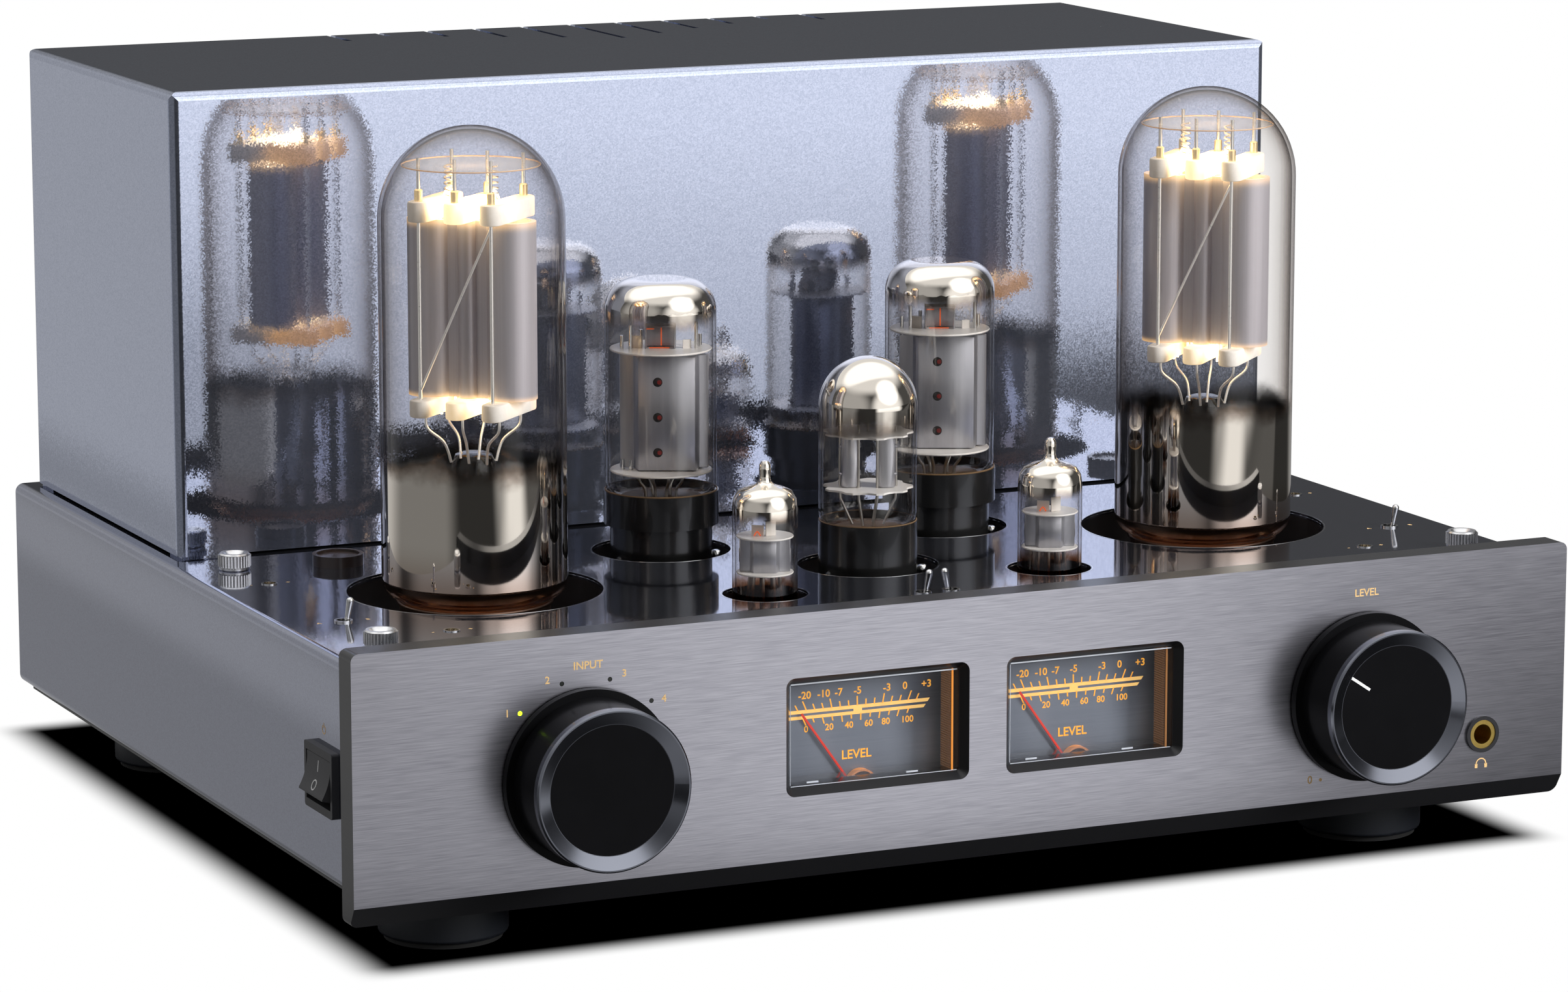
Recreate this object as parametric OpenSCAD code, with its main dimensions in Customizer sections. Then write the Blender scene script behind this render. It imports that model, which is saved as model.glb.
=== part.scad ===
// Stereo valve amplifier: folded chassis, thick front plate, transformer cover,
// seven plug-in valves, two level meters, two rotary controls and deck trims.
// Frame: +Z up, the front plate faces -Y, z = 0 is the plane under the feet.

/* [Front plate] */
// Overhang of the front plate past each side of the chassis
plate_over = 2.85; // [0:0.05:20]
// Height of the front plate
plate_h = 83.9; // [80:0.1:96]
// Thickness of the front plate
plate_t = 10; // [8:0.5:14]
// How far the front plate stands above the deck
plate_rise = 5.4; // [2:0.1:10]
// Corner radius of the front plate
plate_corner = 2.5; // [1:0.1:4]
// Height of the bevel along the plate's lower edge
bevel_h = 6.7; // [3:0.1:9]
// Depth of the bevel along the plate's lower edge
bevel_d = 4.1; // [2:0.1:6]

/* [Chassis] */
// Width of the chassis
chassis_w = 414.3; // [400:0.1:430]
// Depth of the chassis behind the front plate
chassis_d = 330.8; // [320:0.1:360]
// Height of the chassis sides
chassis_h = 70.6; // [68:0.1:90]
// Sheet thickness of the chassis
sheet = 1.5; // [1.2:0.1:2]
// Outer bend radius of the chassis sheet
bend_r = 3; // [2.5:0.1:5]
// Width of the chassis's lower flanges
flange_w = 14; // [12:1:20]
// Inset of the bottom plate from the chassis sides
bottom_inset = 3; // [2:0.5:6]
// Thickness of the bottom plate
bottom_t = 1.5; // [1:0.1:3]

/* [Transformer cover] */
// Inset of the cover from the chassis sides
cover_in = 7; // [5:0.1:12]
// Depth of the cover
cover_d = 152.5; // [148:0.1:156]
// Height of the cover above the deck
cover_h = 151.9; // [140:0.1:180]
// Setback of the cover from the rear edge of the chassis
cover_setback = 3.4; // [2:0.1:6]
// Sheet thickness of the cover
cover_t = 1.5; // [1:0.1:2]
// Shadow gap between the cover and the deck
cover_gap = 0.8; // [0.4:0.1:0.9]
// Number of cooling slots in the cover
slot_count = 11; // [3:2:13]
// Spacing of the cooling slots
slot_pitch = 18.2; // [10:0.1:24]
// Width of a cooling slot
slot_w = 2; // [1:0.1:4]
// Length of the middle cooling slot
slot_long = 53; // [50:1:70]
// How much shorter each next slot is
slot_step = 10; // [6:0.5:11]

/* [Feet] */
// Height of a foot with its pad
foot_h = 24.1; // [16:0.1:40]
// Radius of a foot
foot_r = 20.2; // [16:0.1:24]
// Inset of the feet from the chassis sides
foot_in = 44.35; // [38:0.05:56]
// Front feet, from the front of the plate
foot_front = 48.9; // [45:0.1:60]
// Rear feet, from the rear of the chassis
foot_back = 34; // [30:1:60]
// Thickness of the rubber pad
pad_h = 1.6; // [1:0.1:4]

/* [Knobs] */
// Inset of the knobs from the chassis sides
knob_in = 72.05; // [68:0.05:82]
// Height of the knobs above the lower edge of the plate
knob_up = 39.9; // [36:0.1:42]
// Radius of a knob
knob_r = 25; // [22:0.1:27]
// Radius of the flange at the foot of a knob
knob_base_r = 27.4; // [25:0.1:30]
// Thickness of the flange at the foot of a knob
knob_base_h = 2.7; // [2:0.1:5]
// How far a knob stands out of the plate
knob_reach = 22; // [20:0.5:30]
// Running gap between a knob and the plate
knob_gap = 0.8; // [0.4:0.1:0.9]
// Radius of the flat disc in a knob
disc_r = 20; // [15:0.1:21]
// Depth of the dished ring in a knob
dish_d = 2; // [1:0.1:4]
// Diameter of the control shafts
shaft_d = 6; // [5:0.1:7]
// Thickness of a knob's face over its bore
knob_face = 6; // [4:0.1:8]

/* [Meters] */
// Distance of the meters from the middle
meter_x = 37.7; // [37:0.1:42]
// Height of the meters above the lower edge of the plate
meter_up = 45.1; // [44:0.1:46]
// Width of a meter window
window_w = 62.5; // [58:0.1:64]
// Height of a meter window
window_h = 37.2; // [33:0.1:38]
// Corner radius of a meter window
window_r = 3; // [2.6:0.1:5]
// Width of the bevel round a meter window
window_bevel = 2.2; // [1:0.1:2.4]
// Depth of the bevel round a meter window
window_bevel_d = 3; // [2:0.1:5]
// Wall of the clear meter lens
lens_t = 1.2; // [1:0.1:1.4]
// Distance from the meter's middle down to its needle's pivot
pivot_drop = 23.9; // [20:0.1:25]
// Length of a needle from its pivot
needle_l = 34.4; // [28:0.1:36]
// Angle of a needle from upright at its zero
needle_zero = 35.7; // [30:0.1:40]
// Depth of the meter case behind the lens
meter_d = 25; // [22:0.5:30]

/* [Input lamps and headphone socket] */
// Radius of the arc of input lamps round the selector
lamp_arc = 30.2; // [29.5:0.1:32]
// Angle between the selector's positions
step_angle = 30; // [20:1:32]
// Radius of an input lamp
lamp_r = 0.7; // [0.5:0.05:1]
// Inset of the headphone socket from the chassis side
jack_in = 27.95; // [23:0.05:32]
// Height of the headphone socket above the lower edge of the plate
jack_up = 23; // [20:0.1:30]
// Radius of the headphone socket's bore
jack_r = 3.25; // [3.2:0.01:3.5]
// Radius of the headphone socket's bush
bush_r = 4.7; // [4.5:0.1:5]
// Radius of the ring round the headphone socket
ring_r = 6; // [5.6:0.1:8]

/* [Power switch] */
// Distance of the switch from the front of the plate
switch_y = 31; // [29:0.1:40]
// Height of the switch above the lower edge of the plate
switch_up = 39.6; // [36:0.1:42]
// Width of the switch bezel
bezel_w = 23.8; // [22:0.1:26]
// Height of the switch bezel
bezel_h = 20.2; // [19.5:0.1:24]
// How far the bezel stands out of the chassis side
bezel_t = 2.3; // [1.5:0.1:3]
// Width of the rocker
rocker_w = 20.2; // [18:0.1:20.4]
// Half height of the rocker's face
rocker_half = 6; // [5:0.1:6.4]
// Distance of the rocker's face from its pivot
rocker_face = 6; // [5:0.1:6.4]
// Tilt of the rocker either way
rocker_tilt = 14; // [10:0.5:15]
// Depth of the rocker's pivot behind the bezel's face
rocker_sink = 4.7; // [4:0.1:5.5]

/* [Power valves] */
// Inset of the power valves from the chassis sides
power_in = 76.45; // [68:0.05:81]
// Power valves, from the front of the plate
power_y = 100.6; // [96:0.1:106]
// Radius of a power valve's glass
power_r = 29.4; // [25:0.1:30]
// Height of a power valve above the deck
power_h = 147.3; // [140:0.1:160]
// Radius of a power valve's base
power_base_r = 23.9; // [22:0.1:25]
// Radius of the deck hole round a power valve
power_hole_r = 40.5; // [36:0.1:41]
// Height of a power valve's anode
power_anode_h = 56; // [50:0.5:58]
// Bottom of a power valve's anode above the deck
power_anode_up = 61.9; // [58:0.1:64]
// Half length of a power valve's anode
power_anode_r = 21.4; // [19:0.1:22]
// Radius of the round lobe at each end of a power valve's anode
lobe_r = 7.8; // [6:0.1:8.4]

/* [Driver valves] */
// Distance of the driver valves from the middle
driver_x = 50.6; // [48:0.1:54]
// Driver valves, from the front of the plate
driver_y = 137.4; // [134:0.1:142]
// Radius of a driver valve's glass
driver_r = 18.2; // [17.5:0.1:19]
// Height of a driver valve above the deck
driver_h = 89.5; // [82:0.1:100]
// Radius of a driver valve's base cup
driver_cup_r = 18.8; // [18.3:0.1:20]
// Radius of the lower part of a driver valve's base
driver_base_r = 16.7; // [15:0.1:18]
// Top of a driver valve's base above the deck
driver_base_up = 20.1; // [18:0.1:24]

/* [Centre valve] */
// Centre valve, from the front of the plate
centre_y = 86.7; // [84:0.1:92]
// Radius of the centre valve's glass
centre_r = 15.9; // [15:0.1:16.2]
// Height of the centre valve above the deck
centre_h = 68; // [62:0.1:80]
// Radius of the centre valve's base
centre_base_r = 16; // [15.6:0.1:18]
// Top of the centre valve's base above the deck
centre_base_up = 14.6; // [13:0.1:18]

/* [Small valves] */
// Distance of the small valves from the middle
small_x = 50.3; // [48:0.1:54]
// Small valves, from the front of the plate
small_y = 56.4; // [54:0.1:60]
// Radius of a small valve's glass
small_r = 10.35; // [9:0.05:11]
// Height of a small valve's shoulder above the deck
small_h = 34.6; // [32:0.1:44]
// Height of the pip on a small valve
pip_h = 8; // [5:0.1:9]

/* [Deck holes] */
// Radius of the deck holes round the octal bases
octal_hole_r = 22.7; // [21:0.1:24]
// Radius of the deck holes round the small valves
small_hole_r = 13.5; // [12:0.1:14]
// Depth of the power valves' socket trays below the deck's underside
tray_depth = 14; // [12:0.5:18]
// Depth of the smaller valves' socket trays below the deck's underside
well_depth = 8; // [6:0.5:12]
// Thickness of a socket's floor
socket_floor = 3; // [2:0.1:5]

/* [Deck fittings] */
// Inset of the guard sockets from the chassis sides
guard_in = 18.25; // [15:0.05:21]
// Front guard sockets, from the front of the plate
guard_front = 30.5; // [27:0.1:36]
// Rear guard sockets, from the front of the plate
guard_back = 163; // [158:0.1:168]
// Radius of a guard socket's knurled head
guard_r = 5.5; // [5:0.1:6.5]
// Height of a guard socket's knurled head
guard_h = 5.6; // [4:0.1:9]
// Radius of a guard socket's bore
guard_bore = 2.05; // [2:0.01:2.4]
// Inset of the outer toggles from the chassis sides
toggle_in = 21.35; // [17:0.05:24]
// Outer toggles, from the front of the plate
toggle_y = 71.3; // [66:0.1:80]
// Distance of the centre toggles from the middle
toggle_mid_x = 5; // [4.6:0.1:9]
// Centre toggles, from the front of the plate
toggle_mid_y = 36.4; // [34:0.1:40]
// Height of a toggle lever above the deck
toggle_h = 7.6; // [6:0.1:12]
// Tilt of a toggle lever either way
toggle_tilt = 11; // [8:0.5:12]
// Inset of the rear trimmers from the chassis sides
trim_back_in = 20.55; // [17:0.05:23]
// Rear trimmers, from the front of the plate
trim_back_y = 136.2; // [130:0.1:142]
// Inset of the front trimmers from the chassis sides
trim_front_in = 46.55; // [43:0.05:51]
// Front trimmers, from the front of the plate
trim_front_y = 44.6; // [42:0.1:48]
// Radius of a trimmer's screw
trim_r = 1.95; // [1.5:0.05:2.2]
// Inset of the round deck caps from the chassis sides
cap_in = 51.65; // [47:0.05:57]
// Round deck caps, from the front of the plate
cap_y = 157.8; // [154:0.1:162]
// Radius of a deck cap
cap_r = 8.3; // [7:0.1:10]
// Height of a deck cap
cap_h = 3.6; // [2:0.1:6]

/* [Rear connectors] */
// Height of the rear connectors' middle above the chassis's lower edge
rear_up = 35; // [33:0.5:38]
// Inset of the middle speaker post from the chassis sides
post_in = 65.15; // [57:0.05:69]
// Spacing of the speaker posts
post_pitch = 22; // [18:0.5:24]
// How far the speaker posts stand out
post_reach = 22; // [16:0.5:30]
// Radius of a speaker post's bore
post_bore = 2.05; // [2:0.01:2.3]
// Spacing of the line sockets
line_pitch = 22; // [16:0.5:26]
// Radius of a line socket's sleeve
line_r = 4.15; // [4:0.05:4.5]
// Radius of a line socket's centre bore
line_bore = 1.65; // [1.5:0.05:2]
// Distance of the mains inlet from the middle
inlet_x = -66; // [-80:1:-56]

/* [Fits] */
// Running clearance of shafts and pins, on the radius
run_fit = 0.05; // [0.02:0.01:0.09]
// Clearance of fixed pieces in their holes
seat_fit = 0.2; // [0.1:0.05:0.25]

/* [Hidden] */
$fn = 64;

// Overshoot of a cutting shape past the face that it cuts
eps = 0.5;

// Heights, from the feet up
side_bottom = foot_h + bottom_t;
deck_z = side_bottom + chassis_h;
deck_low = deck_z - sheet;
plate_bottom = deck_z + plate_rise - plate_h;
plate_mid = plate_bottom + plate_h / 2;
knob_z = plate_bottom + knob_up;
meter_z = plate_bottom + meter_up;
pivot_z = meter_z - pivot_drop;
jack_z = plate_bottom + jack_up;
switch_z = plate_bottom + switch_up;
rear_z = side_bottom + rear_up;

// Depths, from the front of the plate to the rear
wall_back = plate_t + sheet;
rear_y = plate_t + chassis_d;
panel_front = rear_y - sheet;
cover_back = rear_y - cover_setback;
cover_front = cover_back - cover_d;
foot_back_y = rear_y - foot_back;
middle_y = (rear_y + post_reach - knob_reach) / 2;

// Widths and places across, from the chassis sides
half_w = chassis_w / 2;
inner_x = half_w - sheet;
side_x = -half_w;
plate_w = chassis_w + 2 * plate_over;
cover_w = chassis_w - 2 * cover_in;
foot_x = half_w - foot_in;
knob_x = half_w - knob_in;
jack_x = half_w - jack_in;
power_x = half_w - power_in;
guard_x = half_w - guard_in;
toggle_x = half_w - toggle_in;
trim_back_x = half_w - trim_back_in;
trim_front_x = half_w - trim_front_in;
cap_x = half_w - cap_in;
post_x = half_w - post_in;

// Controls behind the knobs
knob_bore = knob_reach - dish_d - knob_face;
shaft_in = 14;
control_bush_r = shaft_d / 2 + 1.6;
bush_gap = 0.4;
bush_back = 2;

// Screws that hold the sheets together
screw_r = 1.45;
screw_head_r = 2.8;
screw_head_h = 1.8;
screw_l = 7;
screw_hole_r = screw_r + run_fit;
screw_grip = screw_l + eps;
tab = 12;
tab_t = 8;
tab_x = inner_x - tab / 2;
tab_low = 10;
tab_high = 12;
tab_up = [side_bottom + sheet + tab_low, deck_low - tab_high];
foot_screw_r = 2;
foot_floor = 9;

// Transformers under the cover
can_gap = 12;
mains_w = 120;
output_w = 96;
can_d = 112;
can_h = 118;
can_y = (cover_front + cover_back) / 2;
output_x = mains_w / 2 + can_gap + output_w / 2;
can_hole = 8;

// Board that hangs under the deck
board_in = 67.15;
board_w = chassis_w - 2 * board_in;
board_setback = 38;
board_d = 124;
board_front = wall_back + board_setback;
board_back = board_front + board_d;
board_t = 1.6;
post_l = 33;
board_top = deck_low - post_l;
post_r = 3;
board_post_in = 48;
board_post_x = board_w / 2 - board_post_in;
board_post_inset = 8;
capacitor_r = 11;
capacitor_clear = 3.5;
capacitor_l = board_top - board_t - side_bottom - capacitor_clear;
capacitor_x = 60;

// Meter pieces
case_margin = 2.5;
case_rise = 1.5;
case_drop = 7;
case_w = window_w + 2 * case_margin;
case_top = meter_z + window_h / 2 + case_rise;
case_bottom = pivot_z - case_drop;
case_z = (case_top + case_bottom) / 2;
case_h = case_top - case_bottom;
case_wall = 1.6;
lens_front = window_bevel_d + seat_fit;
lens_w = window_w - 2 * window_bevel - 2 * seat_fit;
lens_h = window_h - 2 * window_bevel - 2 * seat_fit;
lens_r = window_r - window_bevel + 0.4;
case_front = plate_t + lens_t;
dial_sink = 2.8;
dial_y = case_front + dial_sink;
dial_t = 0.8;
needle_lift = 1.2;
needle_y = dial_y - needle_lift;
needle_t = 0.4;
needle_w = 0.7;
hub_r = 1.8;
pivot_r = 0.6;

// Power switch pieces
bezel_x = side_x - bezel_t;
rocker_gap = 0.3;
bezel_lip = 0.6;
rocker_x = bezel_x + rocker_sink;
rocker_swing = rocker_half * cos(rocker_tilt) + rocker_face * sin(rocker_tilt);
opening_half = rocker_swing + rocker_gap;
opening_w = rocker_w + 2 * rocker_gap;
switch_body_w = bezel_w - 2 * bezel_lip;
switch_body_h = bezel_h - 3 * bezel_lip;
switch_depth = 20;
rocker_pin_r = 1.1;

// Power valve pieces, from the deck
power_low = -2.6;
power_wall = 1.2;
power_mouth_r = power_base_r - 4;
power_foot = -(sheet + tray_depth);
power_pin_r = 2.4;
power_pin_circle = 14.3;
mica_t = 0.6;
mica_gap = 0.35;
mica_lift = 16.8;
mica_z = power_anode_up + power_anode_h + mica_lift;
mica_rise = mica_z + mica_t - (power_h - power_r);
mica_r = sqrt(pow(power_r - power_wall, 2) - pow(mica_rise, 2)) - mica_gap;
ceramic_h = 8;
ceramic_w = 7;
rod_r = 0.7;
stem_r = 9;
stem_top = 44;
anode_web = 7;
anode_rib_r = 3;
anode_wall = 1.6;
ceramic_reach = 16;
ceramic_pitch = 12.3;
ceramic_places = [-ceramic_pitch, 0, ceramic_pitch];
ceramic_end = ceramic_reach - ceramic_w / 2;
carrier_t = 3;
carrier_w = 8;
carrier_up = 1;
lead_places = [-6, 0, 6];
lead_y = 3;
power_turn = -46;
valve_turn = -25;

// Octal and small valve pieces, from the deck
well_floor = -(sheet + well_depth);
octal_pin_r = 1.15;
octal_pin_circle = 8.7;
small_pin_r = 0.5;
small_pin_circle = 5.9;
pin_l = socket_floor + 4;
valve_wall = 1;
driver_anode_w = 27;
small_anode_w = 16.1;
cup_step = 11;
rim_depth = 4;

// Toggles and trimmers, from the deck
toggle_pivot = -5.5;
toggle_r = 0.8;
toggle_tip_r = 1.15;
toggle_bush_r = 2.9;
toggle_bore = toggle_r + 1.3;
toggle_body = 9;
trunnion_in = 1;
trim_ring_r = trim_r + 0.65;
trim_body = 8;
trim_places = [[-trim_back_x, trim_back_y], [-trim_front_x, trim_front_y], [trim_front_x, trim_front_y],
    [trim_back_x, trim_back_y]];
toggle_places = [[-toggle_x, toggle_y], [toggle_x, toggle_y], [-toggle_mid_x, toggle_mid_y],
    [toggle_mid_x, toggle_mid_y]];
guard_places = [for (sx = [-1, 1], gy = [guard_front, guard_back]) [sx * guard_x, gy]];
guard_stem_r = 3.2;
guard_nut_r = 5;
guard_nut_h = 3;
cap_stem_r = 5;

// Places of the valves: [x, y]
power_places = [[-power_x, power_y], [power_x, power_y]];
driver_places = [[-driver_x, driver_y], [driver_x, driver_y]];
octal_places = [[-driver_x, driver_y], [driver_x, driver_y], [0, centre_y]];
small_places = [[-small_x, small_y], [small_x, small_y]];
foot_places = [for (sx = [-1, 1], fy = [foot_front, foot_back_y]) [sx * foot_x, fy]];

// Places of the rear connectors: [x, z]
post_places = [for (sx = [-1, 1], i = [-1, 0, 1]) [sx * post_x + i * post_pitch, rear_z]];
line_places = [for (i = [0 : 2], sz = [-0.5, 0.5]) [line_pitch * (i + 0.4), rear_z + sz * line_pitch]];
post_flange_r = 8;
post_flange_h = 3;
post_barrel_r = 6.5;
post_stem_r = 3;
line_flange_r = 6;
line_reach = 10;
line_stem_r = 3.4;
inlet_w = 24.4;
inlet_h = 16.2;
inlet_wall = 1.6;
inlet_deep = 17;
inlet_pin = 10;
inlet_flange = 12;
inlet_hole = inlet_wall + seat_fit;

// Lamps in an arc above the selector, first one at the left
function lamp_angle(i) = (i - 1.5) * step_angle;
function lamp_place(i) = [lamp_arc * sin(lamp_angle(i)) - knob_x, knob_z + lamp_arc * cos(lamp_angle(i))];
lamp_head_r = 2;

// Slots grow shorter from the middle, and the outermost pair grows again
slot_mid = (slot_count - 1) / 2;
function slot_rank(i) = abs(i - slot_mid);
function slot_len(i) = slot_long - slot_step * (slot_rank(i) < slot_mid ? slot_rank(i) : slot_mid - 2);

// Screw heads: [place of the head's inner face, turn of the shank]
forward = [90, 0, 0];
upward = [0, 0, 0];
plate_screw_in = 9;
plate_screw_low = 20;
plate_screw_top = 8;
plate_screw_mid = 10;
bottom_screw_front = 20;
bottom_screw_back = 60;
plate_screw_places = [[inner_x - plate_screw_in, plate_bottom + plate_screw_low],
    [inner_x - plate_screw_in, deck_low - plate_screw_top],
    [case_w / 2 + meter_x + plate_screw_mid, deck_low - plate_screw_top]];
faceplate_screws = [for (sx = [-1, 1], p = plate_screw_places) [[sx * p[0], wall_back, p[1]], forward]];
rear_screws = [for (sx = [-1, 1], z = tab_up) [[sx * tab_x, rear_y, z], forward]];
bottom_screw_ys = [wall_back + bottom_screw_front, (plate_t + rear_y) / 2, rear_y - bottom_screw_back];
bottom_screws = [for (sx = [-1, 1], y = bottom_screw_ys)
    [[sx * (half_w - flange_w / 2 - bottom_inset / 2), y, foot_h], upward]];
function can_screws(x, w) = [for (sx = [-1, 1], sy = [-1, 1])
    [[x + sx * (w / 2 - can_hole), can_y + sy * (can_d / 2 - can_hole), deck_low], upward]];
transformer_screws = concat(can_screws(-output_x, output_w), can_screws(0, mains_w),
    can_screws(output_x, output_w));
cover_screws = [for (sx = [-1, 1], y = [cover_front + cover_t + tab / 2, cover_back - cover_t - tab / 2])
    [[sx * (cover_w / 2 - cover_t - tab / 2), y, deck_low], upward]];
board_screws = [for (sx = [-1, 1], y = [board_front + board_post_inset, board_back - board_post_inset])
    [[sx * board_post_x, y, board_top - board_t], upward]];
deck_screws = concat(transformer_screws, cover_screws);
all_screws = concat(faceplate_screws, rear_screws, bottom_screws, deck_screws, board_screws);

// General shapes

// Moves a piece from the front plate's frame to the middle of the whole
module placed() {
    translate([0, -middle_y, 0]) children();
}

// Rounded rectangle about the origin
module rounded(w, h, r) {
    square([w - 2 * r, h], center = true);
    square([w, h - 2 * r], center = true);
    for (sx = [-1, 1], sy = [-1, 1]) translate([sx * (w / 2 - r), sy * (h / 2 - r)]) circle(r);
}

// Stands an X-Z outline up and gives it depth from y0 to y1
module slab(y0, y1) {
    translate([0, y1, 0]) rotate([90, 0, 0]) linear_extrude(y1 - y0) children();
}

// Runs a Y-Z outline from x0 to x1
module bar(x0, x1) {
    translate([x0, 0, 0]) rotate([90, 0, 90]) linear_extrude(x1 - x0) children();
}

// Round rods along Y and along Z
module rod_y(x, z, r, y0, y1) {
    translate([x, y0, z]) rotate([-90, 0, 0]) cylinder(r = r, h = y1 - y0);
}
module rod_z(p, r, z0, z1) {
    translate([p[0], p[1], z0]) cylinder(r = r, h = z1 - z0);
}

// Box between two corners
module block(a, b) {
    translate(a) cube(b - a);
}

// Places children on the deck at each given place
module on_deck(places) {
    for (p = places) translate([p[0], p[1], deck_z]) children();
}

// Half outline of a bulb from z0 to z1 with rounded shoulders
module bulb(r, z0, z1, top_r, low_r) {
    intersection() {
        union() {
            translate([0, z0 + low_r]) square([r, z1 - z0 - low_r - top_r]);
            translate([0, z0]) square([r - low_r, low_r]);
            translate([0, z1 - top_r]) square([max(r - top_r, 0.01), top_r]);
            translate([r - low_r, z0 + low_r]) circle(low_r);
            translate([r - top_r, z1 - top_r]) circle(top_r);
        }
        translate([0, z0]) square([r, z1 - z0]);
    }
}

// Ring of copies round the upright axis
module ring_of(count, r) {
    for (i = [0 : count - 1]) rotate(i * 360 / count) translate([r, 0, 0]) children();
}

// Casing

module screw_shape(r, l) {
    cylinder(r = r, h = l);
    translate([0, 0, -screw_head_h]) cylinder(r = screw_head_r, h = screw_head_h);
}
module screw_cuts(list) {
    for (s = list) translate(s[0]) rotate(s[1])
        translate([0, 0, -eps]) cylinder(r = screw_hole_r, h = screw_grip + eps);
}

// Window through the plate with a bevel all round its front edge
module window_cut(x) {
    ledge = 0.05;
    grow = eps * window_bevel / window_bevel_d;
    slab(-eps, plate_t + eps) translate([x, meter_z])
        rounded(window_w - 2 * window_bevel, window_h - 2 * window_bevel, window_r - window_bevel);
    hull() {
        slab(-eps - ledge, -eps) translate([x, meter_z])
            rounded(window_w + 2 * grow, window_h + 2 * grow, window_r + grow, $fn = 32);
        slab(window_bevel_d - ledge, window_bevel_d) translate([x, meter_z])
            rounded(window_w - 2 * (window_bevel - ledge), window_h - 2 * (window_bevel - ledge),
                window_r - window_bevel + ledge, $fn = 32);
    }
}

module faceplate() {
    color("dimgray") difference() {
        slab(0, plate_t) translate([0, plate_mid]) rounded(plate_w, plate_h, plate_corner);
        bar(-plate_w / 2 - eps, plate_w / 2 + eps) translate([0, plate_bottom])
            polygon([[0, bevel_h], [bevel_d, 0], [bevel_d, -eps], [-eps, -eps], [-eps, bevel_h]]);
        for (sx = [-1, 1]) {
            window_cut(sx * meter_x);
            rod_y(sx * knob_x, knob_z, control_bush_r + 2 * bush_gap, -eps, plate_t + eps);
        }
        for (i = [0 : 3])
            rod_y(lamp_place(i)[0], lamp_place(i)[1], lamp_r + run_fit, -eps, plate_t + eps);
        rod_y(jack_x, jack_z, bush_r + run_fit, -eps, plate_t + eps);
        screw_cuts(faceplate_screws);
    }
}

module shell_outline() {
    difference() {
        translate([0, side_bottom + chassis_h / 2]) rounded(chassis_w, chassis_h, bend_r);
        translate([0, side_bottom + chassis_h / 2])
            rounded(chassis_w - 2 * sheet, chassis_h - 2 * sheet, bend_r - sheet);
        translate([flange_w - half_w, side_bottom - eps])
            square([chassis_w - 2 * flange_w, sheet + 2 * eps]);
    }
}

module chassis_shell() {
    color("slategray") difference() {
        union() {
            slab(plate_t, rear_y) shell_outline();
            slab(plate_t, wall_back) translate([0, side_bottom + chassis_h / 2])
                rounded(chassis_w, chassis_h, bend_r);
            for (sx = [-1, 1], z = tab_up)
                block([sx * tab_x - tab / 2 - run_fit, panel_front - tab_t, z - tab / 2],
                    [sx * tab_x + tab / 2 + run_fit, panel_front, z + tab / 2]);
            for (s = board_screws) rod_z(s[0], post_r, board_top, deck_low + sheet / 2);
        }
        for (sx = [-1, 1]) {
            slab(plate_t - eps, wall_back + eps) translate([sx * meter_x, case_z])
                rounded(case_w + 2 * seat_fit, case_h + 2 * seat_fit, bend_r);
            rod_y(sx * knob_x, knob_z, control_bush_r + run_fit, plate_t - eps, wall_back + eps);
        }
        for (i = [0 : 3])
            rod_y(lamp_place(i)[0], lamp_place(i)[1], lamp_r + run_fit, plate_t - eps, wall_back + eps);
        rod_y(jack_x, jack_z, bush_r + run_fit, plate_t - eps, wall_back + eps);
        bar(side_x - eps, side_x + sheet + eps) translate([switch_y, switch_z])
            square([switch_body_w + 2 * seat_fit, switch_body_h + 2 * seat_fit], center = true);
        for (p = power_places) rod_z(p, power_hole_r, deck_low - eps, deck_z + eps);
        for (p = octal_places) rod_z(p, octal_hole_r, deck_low - eps, deck_z + eps);
        for (p = small_places) rod_z(p, small_hole_r, deck_low - eps, deck_z + eps);
        for (p = toggle_places) rod_z(p, toggle_bush_r + run_fit, deck_low - eps, deck_z + eps);
        for (p = trim_places) rod_z(p, trim_ring_r + run_fit, deck_low - eps, deck_z + eps);
        for (p = guard_places) rod_z(p, guard_stem_r + run_fit, deck_low - eps, deck_z + eps);
        for (sx = [-1, 1]) rod_z([sx * cap_x, cap_y], cap_stem_r + run_fit, deck_low - eps, deck_z + eps);
        screw_cuts(all_screws);
    }
}

module rear_panel() {
    color("slategray") difference() {
        slab(panel_front, rear_y) translate([0, side_bottom + chassis_h / 2])
            rounded(2 * (inner_x - seat_fit), chassis_h - 2 * (sheet + seat_fit), bend_r - sheet + 0.3);
        for (p = post_places) rod_y(p[0], p[1], post_stem_r + run_fit, panel_front - eps, rear_y + eps);
        for (p = line_places) rod_y(p[0], p[1], line_stem_r + run_fit, panel_front - eps, rear_y + eps);
        slab(panel_front - eps, rear_y + eps) translate([inlet_x, rear_z])
            square([inlet_w + 2 * inlet_hole, inlet_h + 2 * inlet_hole], center = true);
        screw_cuts(rear_screws);
    }
}

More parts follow.
